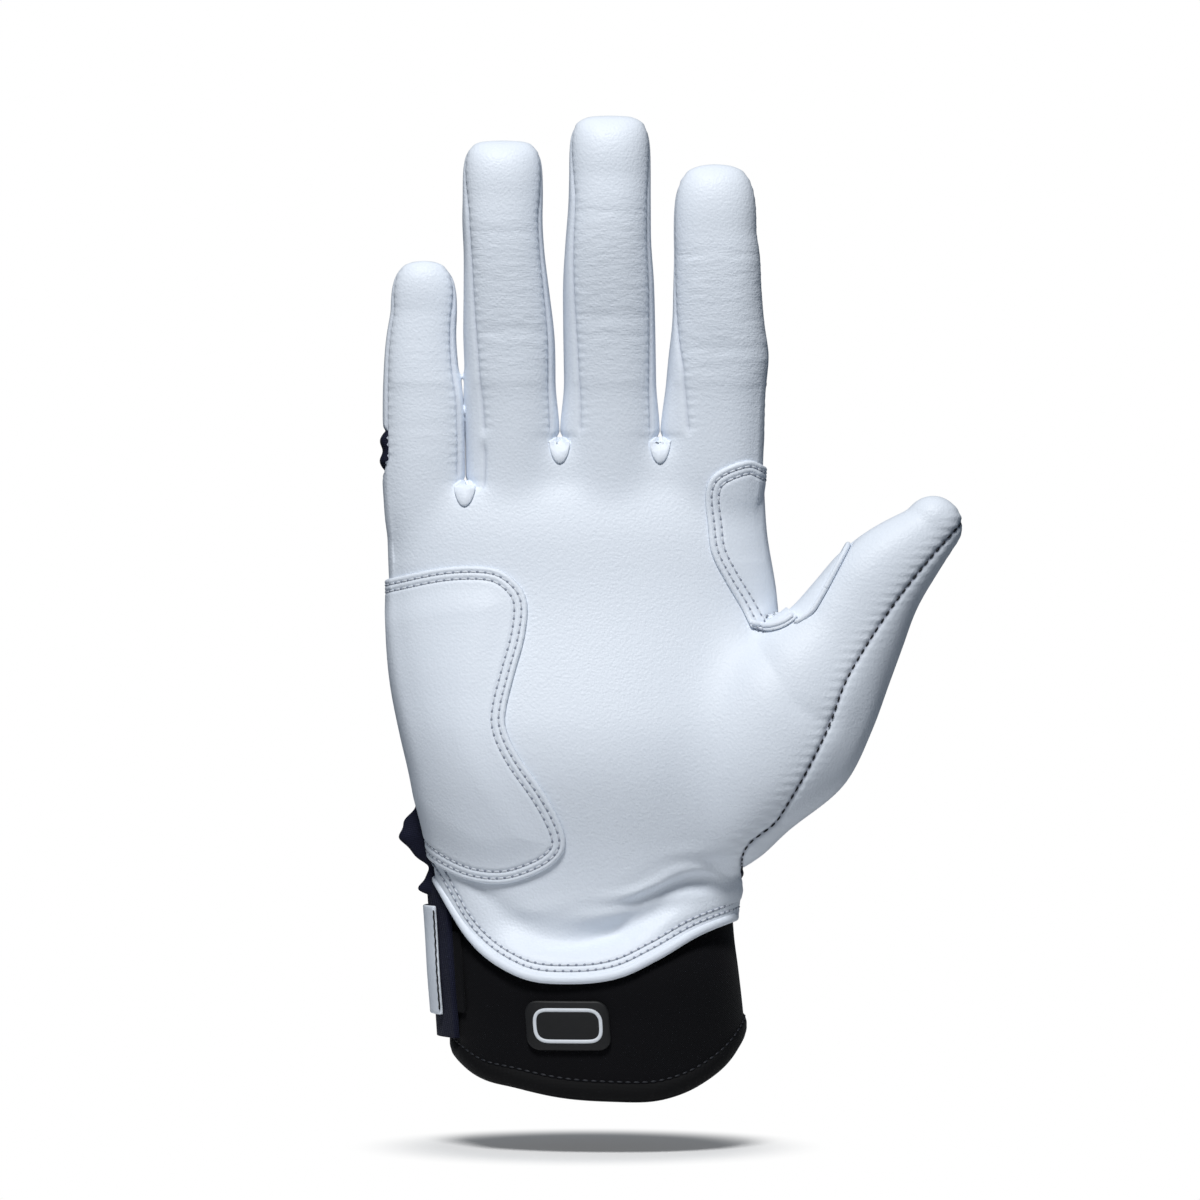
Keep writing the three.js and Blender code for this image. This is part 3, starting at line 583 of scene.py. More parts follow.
def sideField(co):  # the side seam, which comes round to the palm side at the little finger's end of the wrist
    dip = smoothStep(-co[:, 0], *skin["dipAcross"]) * (1 - smoothStep(co[:, 2], *skin["dipUp"]))
    return co[:, 1] - skin["sideSeam"] + skin["sideDip"] * dip


def onPalm(co):
    return ~anyFinger(co) & (sideField(co) < hair)


def onBack(co):
    return ~anyFinger(co) & (sideField(co) > -hair)


# Seams of a stall, as angles from the palm side at shares of its length
leftFront = [(0, -44), (0.3, -48), (0.75, -60), (0.93, -82), (1, -90)]
rightFront = [(0, 60), (0.75, 68), (0.93, 84), (1, 90)]
leftBack = [(0, -132), (0.75, -116), (0.93, -98), (1, -90)]
rightBack = [(0, 132), (0.75, 116), (0.93, 98), (1, 90)]
outerLittle = [(0, -96), (0.1, -64), (0.8, -76), (1, -90)]
outerIndex = [(0, 96), (0.2, 88), (1, 90)]
stallSeams = {name: [leftFront, rightFront, leftBack, rightBack] for name in fingerShape}
stallSeams["index"][0] = [(0, -36), (0.25, -50), (0.45, -72), (0.65, -86), (1, -90)]
stallSeams["little"][0] = stallSeams["little"][2] = outerLittle
stallSeams["index"][1] = stallSeams["index"][3] = outerIndex


def stallAngle(name, co):
    section = throughKeys(fingerShape[name]["keys"], co[:, 2])
    dx = co[:, 0] - (section[:, 0] + section[:, 1]) / 2
    dy = co[:, 1] - (section[:, 2] + section[:, 3]) / 2
    return np.arctan2(dx, -dy), np.hypot(dx, dy)


def seamAngles(name, co):
    shape = fingerShape[name]
    share = np.clip((co[:, 2] - shape["split"]) / (shape["tip"] - shape["split"]), 0, 1)
    return [np.radians(np.interp(share, *np.array(seam, float).T)) for seam in stallSeams[name]]


def frontField(name):
    def field(co):
        angle, radius = stallAngle(name, co)
        left, right = seamAngles(name, co)[:2]
        return np.minimum(right - angle, angle - left) * radius
    return field


def backField(name):
    def field(co):
        angle, radius = stallAngle(name, co)
        left, right = seamAngles(name, co)[2:]
        return np.maximum(angle - right, left - angle) * radius
    return field


thumbOuter = [(-62, 24), (-57, 15.6), (-41, 14), (-25, 11.5), (-15, 9.2), (-5, 6.1), (6, 4.6), (18, 3.9),
              (31, 4.1), (46, 5.4)]  # seams of the thumb, along and across it
thumbInner = [(-3, -13.2), (3.7, -11), (7.8, -11.4), (16.4, -12.8), (22.7, -13.9), (46, -16)]


def outerField(co):
    across, along = thumbAxes(co)
    return throughKeys(thumbOuter, along)[:, 0] - across


def thumbFront(co):
    across, along = thumbAxes(co)
    section = throughKeys(thumbKeys, along)
    middle = (section[:, 2] + section[:, 3]) / 2
    inner = across - throughKeys(thumbInner, along)[:, 0]
    return np.minimum(np.minimum(inner, outerField(co)), middle - co[:, 1])


edgeKeys = [(-60, 66), (-38.5, 50.7), (-29.6, 37.5), (-17.2, 28.6), (-4, 26.8), (7.8, 28.4), (16.4, 32.3),
            (27.2, 38), (35.3, 40.7), (60, 42)]  # the palm's curved wrist edge, across and up


def edgeField(co):
    height = throughKeys(edgeKeys, co[:, 0])[:, 0]
    slope = (throughKeys(edgeKeys, co[:, 0] + 0.5)[:, 0] - height) / 0.5
    return (co[:, 2] - height) / np.sqrt(1 + slope**2)


def lineDistance(outline, closed):
    points = np.array(outline, float)
    ends = np.roll(points, -1, axis=0) if closed else points[1:]
    starts = points if closed else points[:-1]

    def distance(co):
        flat = co[:, [0, 2]]
        nearest = np.full(len(co), 1e9)
        inside = np.zeros(len(co), bool)
        for a, b in zip(starts, ends):
            along = b - a
            share = np.clip(((flat - a) @ along) / (along @ along), 0, 1)
            nearest = np.minimum(nearest, np.linalg.norm(flat - a - share[:, None] * along, axis=1))
            spans = (a[1] > flat[:, 1]) != (b[1] > flat[:, 1])
            rise = along[1] if abs(along[1]) > 1e-9 else 1e-9
            inside ^= spans & (flat[:, 0] < a[0] + (flat[:, 1] - a[1]) / rise * along[0])
        return np.where(inside, nearest, -nearest) if closed else nearest
    return distance


def roundedLine(points, steps):
    keys = [(i, *p) for i, p in enumerate(points)]
    return throughKeys(keys, np.linspace(0, len(points) - 1, steps))


thumbCrease = lineDistance(roundedLine([(39.7, 110.7), (45.8, 100.5), (50.7, 93.3), (58.3, 88.9)], 16), False)

skinBody = makeSkin()
print("skin fused", len(skinBody.verts))


# Panels: every seam is cut into the skin, then each face is given to its panel
def constant(axis, place):
    return lambda co: co[:, axis] - place


def along(place):
    return lambda co: thumbAxes(co)[1] - place


ringSide = {"across": (-31.5, -20), "cut": 140, "panel": 146.5, "seam": 146}
rootReach = 4  # how far from a root's cut its edges are looked for


def ringWall(co, use):  # the ring stall's own side below its root, over the lower crotch of the little finger
    low, high = ringSide["across"]
    return ~anyFinger(co) & (co[:, 2] > ringSide[use]) & (co[:, 0] > low) & (co[:, 0] < high)


def cutPanels(bm):
    for name, shape in fingerShape.items():
        low, high = shape["side"]
        root, (start, end) = shape["split"], shape["flex"]
        here, front, behind, inset = inFinger(name), frontField(name), backField(name), flexInset[name]
        cutAlong(bm, constant(2, root), lambda co: (
            (co[:, 0] > low) & (co[:, 0] < high) & (abs(co[:, 2] - root) < rootReach)))
        cutAlong(bm, constant(2, shape["kneeStart"]), here)
        cutAlong(bm, front, here)
        cutAlong(bm, behind, here)
        for height in shape["flex"]:
            cutAlong(bm, constant(2, height), lambda co: here(co) & (behind(co) > -hair))
        if inset:
            cutAlong(bm, lambda co: behind(co) - inset, lambda co: (
                here(co) & (co[:, 2] > start - hair) & (co[:, 2] < end + hair)))
    split, inside = thumbShape["split"], thumbShape["inside"]
    cutAlong(bm, along(split), lambda co: (
        (thumbAxes(co)[0] > inside) & (abs(thumbAxes(co)[1] - split) < rootReach)))
    cutAlong(bm, along(thumbShape["kneeStart"]), inThumb)
    cutAlong(bm, thumbFront, inThumb)
    cutAlong(bm, sideField, lambda co: ~anyFinger(co))
    cutAlong(bm, edgeField, onPalm)
    cutAlong(bm, outerField, lambda co: onPalm(co) & (co[:, 0] > 30))
    cutAlong(bm, constant(2, skin["backSplit"]), onBack)
    cutAlong(bm, constant(2, skin["stretchEdge"]), onBack)
    for side in (-1, 1):
        cutAlong(bm, constant(0, skin["slit"] + side * skin["slitHalf"]),
                 lambda co: onBack(co) & (co[:, 2] < skin["backSplit"] - skin["slitStop"]))
    for field in (frontField("ring"), backField("ring")):
        cutAlong(bm, field, lambda co: ringWall(co, "cut"))


def onFlex(name, co):  # the ribbed insert over a knuckle
    low, high = fingerShape[name]["flex"]
    return inFinger(name)(co) & (backField(name)(co) > flexInset[name]) & (co[:, 2] > low) & (co[:, 2] < high)


def panelNames(co):
    names = np.full(len(co), "", object)
    x, z = co[:, 0], co[:, 2]
    palm, back = onPalm(co), onBack(co)
    names[palm] = "palm_panel"
    names[palm & (outerField(co) < 0)] = "thumb_base_panel"
    names[palm & (edgeField(co) < 0)] = ""
    names[back & (z > skin["backSplit"])] = "back_panel"
    low = back & (z <= skin["backSplit"]) & (z > skin["stretchEdge"])
    slit = (abs(x - skin["slit"]) < skin["slitHalf"]) & (z < skin["backSplit"] - skin["slitStop"])
    names[low & ~slit] = "back_stretch_panel"
    between = (frontField("ring")(co) < 0) & (backField("ring")(co) < 0)
    names[ringWall(co, "panel") & between] = "ring_root_wall"
    for name, shape in fingerShape.items():
        here = inFinger(name)(co)
        front = frontField(name)(co) > 0
        behind = backField(name)(co) > 0
        radial = stallAngle(name, co)[0] > 0
        segment = np.where(z < shape["kneeStart"], "_base", "_end")
        strip = np.where(radial, "_radial_fourchette", "_ulnar_fourchette")
        panel = np.where(front, "_front", np.where(behind, "_back", strip))
        full = np.array([name + s + p for s, p in zip(segment, panel)], object)
        names[here] = full[here]
        names[onFlex(name, co)] = name + "_knuckle_flex"
        under = here & behind & ~front & (z >= shape["kneeStart"]) & (z <= shape["flex"][0])
        names[under] = name + "_base_back"
    here = inThumb(co)
    front = thumbFront(co) > 0
    far = thumbAxes(co)[1] > thumbShape["kneeStart"]
    for segment, chosen in (("base", ~far), ("end", far)):
        names[here & chosen & front] = "thumb_" + segment + "_front"
        names[here & chosen & ~front] = "thumb_" + segment + "_back"
    return names


# Relief of the skin: seams drawn in, puckers beside them, wrinkles, gathers and the puffed stretch panel, and
# the painted shade of the seam grooves
relief = {"seamDepth": 0.45, "seamWidth": 0.55, "softDepth": 0.2, "softWidth": 1.6, "pucker": 0.22,
          "puckerPitch": 2.3, "puckerBand": (0.6, 3.2), "crack": ((0.1, 0.9), (0.5, 3.5)), "wrinkle": 0.07,
          "fold": 0.16, "secondFold": 0.52, "smoothTip": (24, 14), "littleShare": 0.35, "rib": 0.7,
          "shade": 0.42}
wrist = {"gather": 0.75, "across": (13, 19), "band": (11, 6), "start": (4.5, 8), "pitch": 6.5, "slant": 0.16,
         "sway": 3.5, "recess": 3.2, "recessBand": (10.5, 3.3), "recessAcross": (7, 26), "rows": (2.0, 3.4),
         "rowDepth": 0.25, "rowWidth": 0.4, "ear": 1.0, "earAcross": (31, 36), "earBand": (48.5, 4)}
stretch = {"puff": 5.7, "puffBand": (61.5, 6.5), "puffShares": (0.45, 0.75), "knob": 4.2,
           "knobBand": (48.3, 2.4), "ulnar": (22, 40), "side": (0, 2.4), "ripple": 0.35, "ripplePitch": 4.6}
crotches = [  # two stalls, how far they swell, and the heights where that fades
    ("little", "ring", 0.62, 168, 177), ("ring", "middle", 0.8, 160, 173), ("middle", "index", 0.7, 160, 173)]
crotchReach = 12


def seamDistances(co):
    gap = np.full(len(co), 9.0)
    strong = np.ones(len(co))
    x, z = co[:, 0], co[:, 2]
    for name, shape in fingerShape.items():
        here = inFinger(name)(co)
        behind = backField(name)(co)
        near = np.minimum(abs(frontField(name)(co)), abs(behind))
        for height in shape["flex"]:
            near = np.where(behind > flexInset[name], np.minimum(near, abs(z - height)), near)
        gap[here] = near[here]
        root = shape["split"]
        strong[here] = smoothStep(z, root, root + 3)[here]
        low, high = shape["side"]
        under = ~here & (x > low) & (x < high) & (z > root - rootReach)
        strong[under] = 1 - smoothStep(z, root - rootReach, root)[under]
    here = inThumb(co)
    far = thumbAxes(co)[1] - thumbShape["split"]
    gap[here] = abs(thumbFront(co))[here]
    inner = here & (abs(outerField(co)) > gap + 0.01)
    strong[inner] = smoothStep(far, 0, rootReach)[inner]
    palm, back = onPalm(co), onBack(co)
    hand = palm | back
    gap[hand] = abs(sideField(co))[hand]
    gap[palm] = np.minimum(gap, abs(outerField(co)))[palm]
    gap[back] = np.minimum(gap, abs(z - skin["backSplit"]))[back]
    wall = ringWall(co, "seam")
    gap[wall] = np.minimum(abs(frontField("ring")(co)), abs(backField("ring")(co)))[wall]
    return gap, strong


def closing(co):  # how far the walls of neighbouring stalls swell towards one another over their crotch
    swell = np.zeros(len(co))
    x, z = co[:, 0], co[:, 2]
    for first, second, amount, shut, apart in crotches:
        foot = fingerShape[first]["split"]
        fade = amount * window(z, foot, foot + 2, shut, apart)
        fromEdge = x - borderOf(fingerShape[first]["side"][1], co)
        for name, side in ((first, 1), (second, -1)):
            facing = hump(stallAngle(name, co)[0] * side, math.pi / 2, math.radians(40))
            own = (fromEdge * side < 0) & (abs(fromEdge) < crotchReach)
            swell = np.where(own, np.maximum(swell, fade * facing), swell)
    return swell


def wristRecess(fromEdge, across):  # the elastic draws the leather in above its edge
    return wrist["recess"] * hump(fromEdge, *wrist["recessBand"]) * hump(across, *wrist["recessAcross"])


def fingerRelief(name, co, pull, strong):  # puckers, folds and ribs of one stall, and where it wrinkles
    shape, r, z = fingerShape[name], relief, co[:, 2]
    here = inFinger(name)(co)
    front = frontField(name)(co)
    knee, tip = shape["knuckle"], shape["tip"]
    mask = here * smoothStep(front, 0.5, 3) * smoothStep(z, shape["split"], knee)
    start, end = [tip - below for below in r["smoothTip"]]
    mask = mask * (1 - smoothStep(z, start, end)) * (r["littleShare"] if name == "little" else 1.0)
    drawn = here * smoothStep(front, -0.4, 0.4) * strong * r["pucker"] * 0.8 * pull * hump(front, 0.8, 1.6)
    second = knee + (tip - knee) * r["secondFold"]
    bent = hump(z, knee + 0.8, 1.5) + 0.6 * hump(z, second, 1.4) + 0.3 * hump(z, knee - 4, 1.2)
    ribs = np.sin((z - shape["flex"][0]) / flexLength * 2 * math.pi) ** 2
    return onFlex(name, co) * r["rib"] * ribs - drawn - r["fold"] * bent * mask, mask


def wristRelief(co, palm, back):  # gathers and recess of the palm, puff and knob of the stretch panel
    x, z = co[:, 0], co[:, 2]
    w, s = wrist, stretch
    fromEdge = edgeField(co)
    rise = palm * -wristRecess(fromEdge, x)
    drawn = palm * hump(x, *w["across"]) * hump(fromEdge, *w["band"]) * smoothStep(fromEdge, *w["start"])
    sway = np.zeros(len(co))
    for i in np.nonzero(z < 80)[0]:
        sway[i] = noise.noise((x[i] * 0.06, 3.1, z[i] * 0.1))
    rise += w["gather"] * drawn * np.sin((z - w["slant"] * x + w["sway"] * sway) * 2 * math.pi / w["pitch"])
    navy = back & (z < skin["backSplit"])
    ulnar = smoothStep(-x, *s["ulnar"])
    least, more = s["puffShares"]
    swell = s["puff"] * (least + more * ulnar) * hump(z, *s["puffBand"])
    swell += s["knob"] * ulnar * hump(z, *s["knobBand"])
    rise += navy * swell * smoothStep(sideField(co), *s["side"])
    rise += palm * w["ear"] * smoothStep(x, *w["earAcross"]) * hump(z, *w["earBand"])
    rise += navy * s["ripple"] * np.sin(z * 2 * math.pi / s["ripplePitch"] + 2 * sway)
    return rise - w["rowDepth"] * palm * sum(hump(fromEdge, row, w["rowWidth"]) for row in w["rows"])


def reliefOf(co):
    r = relief
    gap, strong = seamDistances(co)
    groove = r["seamDepth"] * hump(gap, 0, r["seamWidth"]) + r["softDepth"] * hump(gap, 0, r["softWidth"])
    rise = -strong * groove
    crease = np.zeros(len(co))
    palm, back, thumb = onPalm(co), onBack(co), inThumb(co)
    pull = np.cos(co[:, 2] * math.pi / r["puckerPitch"]) ** 2
    outer = outerField(co)
    beside = (palm | thumb) & (co[:, 1] < 0)
    drawn = np.where(beside & (outer > 0), 1.0, 0.5) * beside * r["pucker"] * pull
    rise -= drawn * hump(outer, *r["puckerBand"]) * (abs(outer) > 0.05)
    crack = thumbCrease(co)
    rise -= (palm | thumb) * sum(depth * hump(crack, 0, width) for depth, width in r["crack"])
    for name in fingerShape:
        added, mask = fingerRelief(name, co, pull, strong)
        rise += added
        crease = np.maximum(crease, mask)
    for i in np.nonzero(crease > 0.02)[0]:
        x, y, z = co[i]
        ridge = noise.noise((x * 0.22, y * 0.22, z * 0.75))
        ridge += 0.6 * noise.noise((x * 0.4, y * 0.4, z * 1.4 + 40))
        rise[i] += r["wrinkle"] * ridge * crease[i]
    rise += closing(co) + wristRelief(co, palm, back)
    # painted shade for the seam grooves, strongest along the thumb's outer seam; it goes out as the seam
    # attribute
    dark = np.where((palm | thumb) & (abs(outer) < 2), 0.85, 0.3)
    seam = np.clip(hump(gap, 0, r["shade"]) * dark * strong, 0, 1)
    return rise, seam, crease


def shadeSmooth(mesh):
    mesh.polygons.foreach_set("use_smooth", [True] * len(mesh.polygons))


onHand = ("hand",)


def carry(obj, rider):
    if len(rider) == 1:
        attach(obj, rider[0])
    else:
        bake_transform(obj)


def fingerRider(name, segment):
    shape = fingerShape[name]
    x = sum(shape["keys"][0][1:3]) / 2
    if segment == "base":
        bodies, ends = ("hand", name + "_base"), (shape["split"], shape["rootEnd"])
    else:
        bodies, ends = (name + "_base", name + "_end"), (shape["kneeStart"], shape["kneeEnd"])
    return (*bodies, *[Vector((x, 0, z)) * toMetres for z in ends])


def thumbPoint(place):
    middle = Vector(thumbShape["place"])
    return (middle + Vector((leanSin, 0, leanCos)) * place) * toMetres


def thumbRider(segment):
    if segment == "base":
        return ("hand", "thumb_base", thumbPoint(thumbShape["split"]), thumbPoint(thumbShape["rootEnd"]))
    return ("thumb_base", "thumb_end", thumbPoint(thumbShape["kneeStart"]), thumbPoint(thumbShape["kneeEnd"]))


def riderOf(panel):
    name, _, rest = panel.partition("_")
    if panel in ("palm_panel", "thumb_base_panel", "back_panel", "back_stretch_panel", "ring_root_wall"):
        return onHand
    if rest.startswith("knuckle"):
        return fingerRider(name, "end")
    segment = rest.split("_")[0]
    return thumbRider(segment) if name == "thumb" else fingerRider(name, segment)


def finishOf(panel):
    if "flex" in panel or "stretch" in panel:
        return "navyStretch", "navy_stretch"
    front = panel.endswith("front") or panel == "palm_panel"
    return ("frontLeather" if front else "plainLeather"), "white_leather"


def thicken(obj, thickness, offset=-1.0):
    solid = obj.modifiers.new("thickness", "SOLIDIFY")
    solid.thickness = thickness * toMetres
    solid.offset = offset
    return obj


def sharpenRims(mesh):
    bm = bmesh.new()
    bm.from_mesh(mesh)
    for e in bm.edges:
        e.smooth = not e.is_boundary
    bm.to_mesh(mesh)
    bm.free()


overlayBody = skinBody.copy()  # the patches are cut from the skin as it is before its seams are drawn in
cutPanels(skinBody)
print("seams cut", len(skinBody.verts))


def makePanels(bm):
    mesh = bpy.data.meshes.new("panels")
    bm.to_mesh(mesh)
    count = len(mesh.vertices)
    co = np.zeros(count * 3)
    mesh.vertices.foreach_get("co", co)
    co = co.reshape(-1, 3)
    normals = np.zeros(count * 3, np.float32)
    mesh.vertex_normals.foreach_get("vector", normals)
    rise, seam, crease = reliefOf(co)
    moved = co + normals.reshape(-1, 3) * rise[:, None]
    middles = np.zeros(len(mesh.polygons) * 3)
    mesh.polygons.foreach_get("center", middles)
    names = panelNames(middles.reshape(-1, 3))
    # the seam attribute holds painted shade for the seam grooves; crease holds where the leather wrinkles
    for label, values in (("seam", seam), ("crease", crease)):
        mesh.attributes.new(label, "FLOAT", "POINT").data.foreach_set("value", values.astype(np.float32))
    mesh.vertices.foreach_set("co", (moved * toMetres).ravel())
    panels = sorted(set(names))
    for panel in panels:
        mesh.materials.append(bpy.data.materials.new("panel:" + panel))
    order = {panel: i for i, panel in enumerate(panels)}
    mesh.polygons.foreach_set("material_index", [order[n] for n in names])
    whole = bpy.data.objects.new("panels", mesh)
    scene.collection.objects.link(whole)
    bpy.ops.object.select_all(action="DESELECT")
    whole.select_set(True)
    bpy.context.view_layer.objects.active = whole
    bpy.ops.mesh.separate(type="MATERIAL")
    made = {}
    for obj in list(bpy.context.selected_objects):
        panel = obj.data.materials[0].name.partition(":")[2]
        if not panel:
            bpy.data.objects.remove(obj)
            continue
        finish, slot = finishOf(panel)
        obj.name = panel + "_skin"
        obj.data.materials.clear()
        obj.data.materials.append(finishes[finish])
        obj.data.polygons.foreach_set("material_index", [0] * len(obj.data.polygons))
        shadeSmooth(obj.data)
        sharpenRims(obj.data)
        thicken(obj, skin["leather"])
        carry(obj, riderOf(panel))
        if panel in frame["nodes"]:
            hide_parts(panel)
        made[panel] = obj
    for material in [m for m in bpy.data.materials if m.name.startswith("panel:")]:
        bpy.data.materials.remove(material)
    return made


panelPieces = makePanels(skinBody)
print("panels", len(panelPieces))


def makePiece(bm, name, finish, rider, nodes=(), thickness=0, edge=0):
    mesh = bpy.data.meshes.new(name)
    bmesh.ops.scale(bm, vec=(toMetres,) * 3, verts=bm.verts)
    bm.to_mesh(mesh)
    bm.free()
    shadeSmooth(mesh)
    mesh.materials.append(finishes[finish])
    obj = bpy.data.objects.new(name, mesh)
    scene.collection.objects.link(obj)
    if thickness:
        thicken(obj, thickness)
    if edge:
        bevel = obj.modifiers.new("edge", "BEVEL")
        bevel.width = edge * toMetres
        bevel.segments = 2
        bevel.limit_method = "ANGLE"
        bevel.angle_limit = math.radians(50)
    carry(obj, rider)
    if nodes:
        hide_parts(*nodes)
    return obj


# Lines where a value passes one level on a mesh, as points with their normals
def levelLines(bm, values, level):
    bm.verts.index_update()
    bm.edges.index_update()
    bm.normal_update()
    shifted = (values - level).tolist()
    points, ways = {}, {}
    for e in bm.edges:
        a, b = e.verts
        va, vb = shifted[a.index], shifted[b.index]
        if (va > 0) != (vb > 0):
            share = va / (va - vb)
            points[e.index] = (a.co.lerp(b.co, share), a.normal.lerp(b.normal, share).normalized())
            ways[e.index] = []
    for f in bm.faces:
        crossed = [e.index for e in f.edges if e.index in points]
        if len(crossed) == 2:
            ways[crossed[0]].append(crossed[1])
            ways[crossed[1]].append(crossed[0])
    lines, seen = [], set()
    for start in sorted(points, key=lambda e: (len(ways[e]), e)):
        if start in seen:
            continue
        chain = [start]
        seen.add(start)
        while True:
            ahead = [e for e in ways[chain[-1]] if e not in seen]
            if not ahead:
                break
            chain.append(ahead[0])
            seen.add(ahead[0])
        lines.append([points[e] for e in chain])
    return lines


def longestLine(bm, values, level):
    return max(levelLines(bm, values, level), key=len)


def lengthAlong(spots):
    return np.concatenate([[0], np.cumsum(np.linalg.norm(np.diff(spots, axis=0), axis=1))])


def evenly(line, pitch, shift=0.5):
    both = np.array([[*p, *n] for p, n in line])
    for _ in range(6):
        both[1:-1] = (both[:-2] + 2 * both[1:-1] + both[2:]) / 4
    far = lengthAlong(both[:, :3])
    count = max(2, round(far[-1] / pitch))
    at = (np.arange(count) + shift) * far[-1] / count
    sample = lambda where: np.stack([np.interp(where, far, both[:, k]) for k in range(6)], 1)
    here = sample(at)
    ahead = sample(at + 0.4)[:, :3] - sample(at - 0.4)[:, :3]
    spots, faces, ways = here[:, :3], here[:, 3:], ahead
    return [(Vector(s), Vector(f).normalized(), Vector(w).normalized()) for s, f, w in zip(spots, faces, ways)]


def addBeads(bm, spots, lift, size):
    length, width, height, rings = size
    lot = 16
    for first in range(0, len(spots), lot):  # made in short lots, which is quicker
        few = bmesh.new()
        for place, face, way in spots[first:first + lot]:
            side = way.cross(face).normalized()
            turn = Matrix((side, way.cross(side), way)).transposed().to_4x4()
            scale = Matrix.Diagonal((width / 2, height / 2, length / 2, 1))
            matrix = Matrix.Translation(place + face * lift) @ turn @ scale
            bmesh.ops.create_uvsphere(few, u_segments=8, v_segments=rings, radius=1, matrix=matrix)
        mesh = bpy.data.meshes.new("lot")
        few.to_mesh(mesh)
        few.free()
        bm.from_mesh(mesh)
        bpy.data.meshes.remove(mesh)


# the size given for the needle holes is that of dark beads of painted shade
sewing = {"pitch": 2.0, "length": 1.5, "width": 0.5, "height": 0.42, "hole": (0.8, 0.62, 0.3)}


class Row:  # all stitches that one piece carries: threads, and between them dark beads of painted shade for the needle holes
    def __init__(self):
        self.threads = bmesh.new()
        self.holes = bmesh.new()

    def sew(self, line, pitch=sewing["pitch"], lift=0.0, threads=True, holes=True):
        length = lengthAlong(np.array([p[:] for p, n in line]))[-1]
        if length < 2 * pitch:
            return
        if threads:
            size = (sewing["length"], sewing["width"], sewing["height"], 5)
            addBeads(self.threads, evenly(line, pitch), lift, size)
        if holes:
            # painted shade: dark beads where the needle holes lie between the stitches
            addBeads(self.holes, evenly(line, pitch, 0.0), lift, (*sewing["hole"], 4))

    def finish(self, name, finish, rider):
        for kind, bm, look in (("thread", self.threads, finish), ("needle_holes", self.holes, "holeShade")):
            if len(bm.verts):
                makePiece(bm, name + "_" + kind, look, rider)


def ropeAlong(bm, line, pitch, width, height, lift, closed=False):
    spots = evenly(line, pitch)
    if closed:
        spots = spots + spots[:1]
    steps = len(spots) - 1
    made = bmesh.ops.create_grid(bm, x_segments=14, y_segments=steps, size=0.5)["verts"]
    for v in made:
        i = round((v.co.y + 0.5) * steps)
        place, face, way = spots[i]
        side = way.cross(face).normalized()
        turn = (v.co.x + 0.5) * 2 * math.pi
        shrink = 0.0 if i in (0, steps) and not closed else 1.0
        around = side * math.cos(turn) * width + face * math.sin(turn) * height
        v.co = place + face * lift + around * shrink / 2
    bmesh.ops.remove_doubles(bm, verts=made, dist=1e-4)
    bmesh.ops.recalc_face_normals(bm, faces=bm.faces)


# Patches sewn over the skin
farAway = 1e3


def skinNear(across, up, front=farAway):  # a copy of the uncut skin, within a box
    bm = overlayBody.copy()
    x, y, z = coordinates(bm).T
    keep = (x > across[0]) & (x < across[1]) & (z > up[0]) & (z < up[1]) & (y < front)
    bmesh.ops.delete(bm, geom=[v for v in bm.verts if not keep[v.index]], context="VERTS")
    return bm


def steadyOrder(bm):  # without it the order of a cut mesh, and so the way a row runs, changes from run to run
    slant = Vector((0.37, 0.11, 1))  # no two points lie level along it
    bm.verts.sort(key=lambda v: v.co.dot(slant))
    bm.edges.sort(key=lambda e: (e.verts[0].co + e.verts[1].co).dot(slant))
    bm.faces.sort(key=lambda f: f.calc_center_median().dot(slant))
    for lot in (bm.verts, bm.edges, bm.faces):
        lot.index_update()


def patchMesh(box, field):
    bm = skinNear(*box)
    cutAlong(bm, field)
    middles = np.array([f.calc_center_median()[:] for f in bm.faces])
    outside = field(middles) < 0
    bmesh.ops.delete(bm, geom=[f for f, out in zip(list(bm.faces), outside) if out], context="FACES")
    bmesh.ops.subdivide_edges(bm, edges=bm.edges, cuts=1, use_grid_fill=True)
    steadyOrder(bm)
    bm.normal_update()
    return bm


def raiseBy(bm, heights):
    moved = [v.co + v.normal * h for v, h in zip(bm.verts, heights)]
    for v, place in zip(bm.verts, moved):
        v.co = place
    bm.normal_update()


heel = {"outline": [(-49, 124), (-35, 126.7), (-23.8, 126.7), (-17.9, 123.5), (-14.9, 118.3), (-15.4, 110),
                    (-17.9, 100.5), (-19.8, 92.6), (-19.8, 87.5), (-16.7, 80.9), (-10.8, 72.5), (-6.9, 65.4),
                    (-5.4, 60), (-7.1, 55.9), (-12, 52.4), (-20.3, 49.7), (-29.2, 50.5), (-38, 54.6),
                    (-46, 61)],
        "outside": [(-80, 61), (-80, 124)], "box": ((-farAway, 4), (44, 134), 6), "rows": (1.5, 3.2),
        "edge": 0.8, "stuffing": 0.9, "side": 2.6, "leather": 1.0}
web = {"outline": [(43.4, 151.6), (39.2, 153.1), (33.3, 151.2), (29.9, 148.5), (28.7, 144.1), (29.2, 137.4),
                   (30.1, 130.3), (33.3, 123.7), (37, 117.4), (39.7, 112)],
       "rim": [(39.7, 112), (44.1, 111), (49, 112.6), (54, 117)], "rimLevel": 0.7,
       "rimRope": (0.6, 1.5, 1.2, 0.1), "outside": [(66, 118), (66, 151.6)],
       "box": ((20, farAway), (104, 158), 8), "rows": (1.5, 3.2),
       "edge": 0.8, "stuffing": 0.4, "side": 2, "leather": 1.0}
sewnEdge = {"lift": 0.3, "roll": 1.1, "spread": 9, "rowDepth": 0.3, "rowWidth": 0.5, "sideSlope": 1.5,
            "thread": 0.06}
handRow = Row()


def sewnProfile(distance, look):
    e, last = sewnEdge, look["rows"][-1]
    roll = np.sqrt(np.clip(1 - (1 - np.clip(distance / e["roll"], 0, 1)) ** 2, 0, 1))
    rise = e["lift"] + look["edge"] * roll + look["stuffing"] * smoothStep(distance, last, last + e["spread"])
    for row in look["rows"]:
        rise -= e["rowDepth"] * hump(distance, row, e["rowWidth"])
    return rise


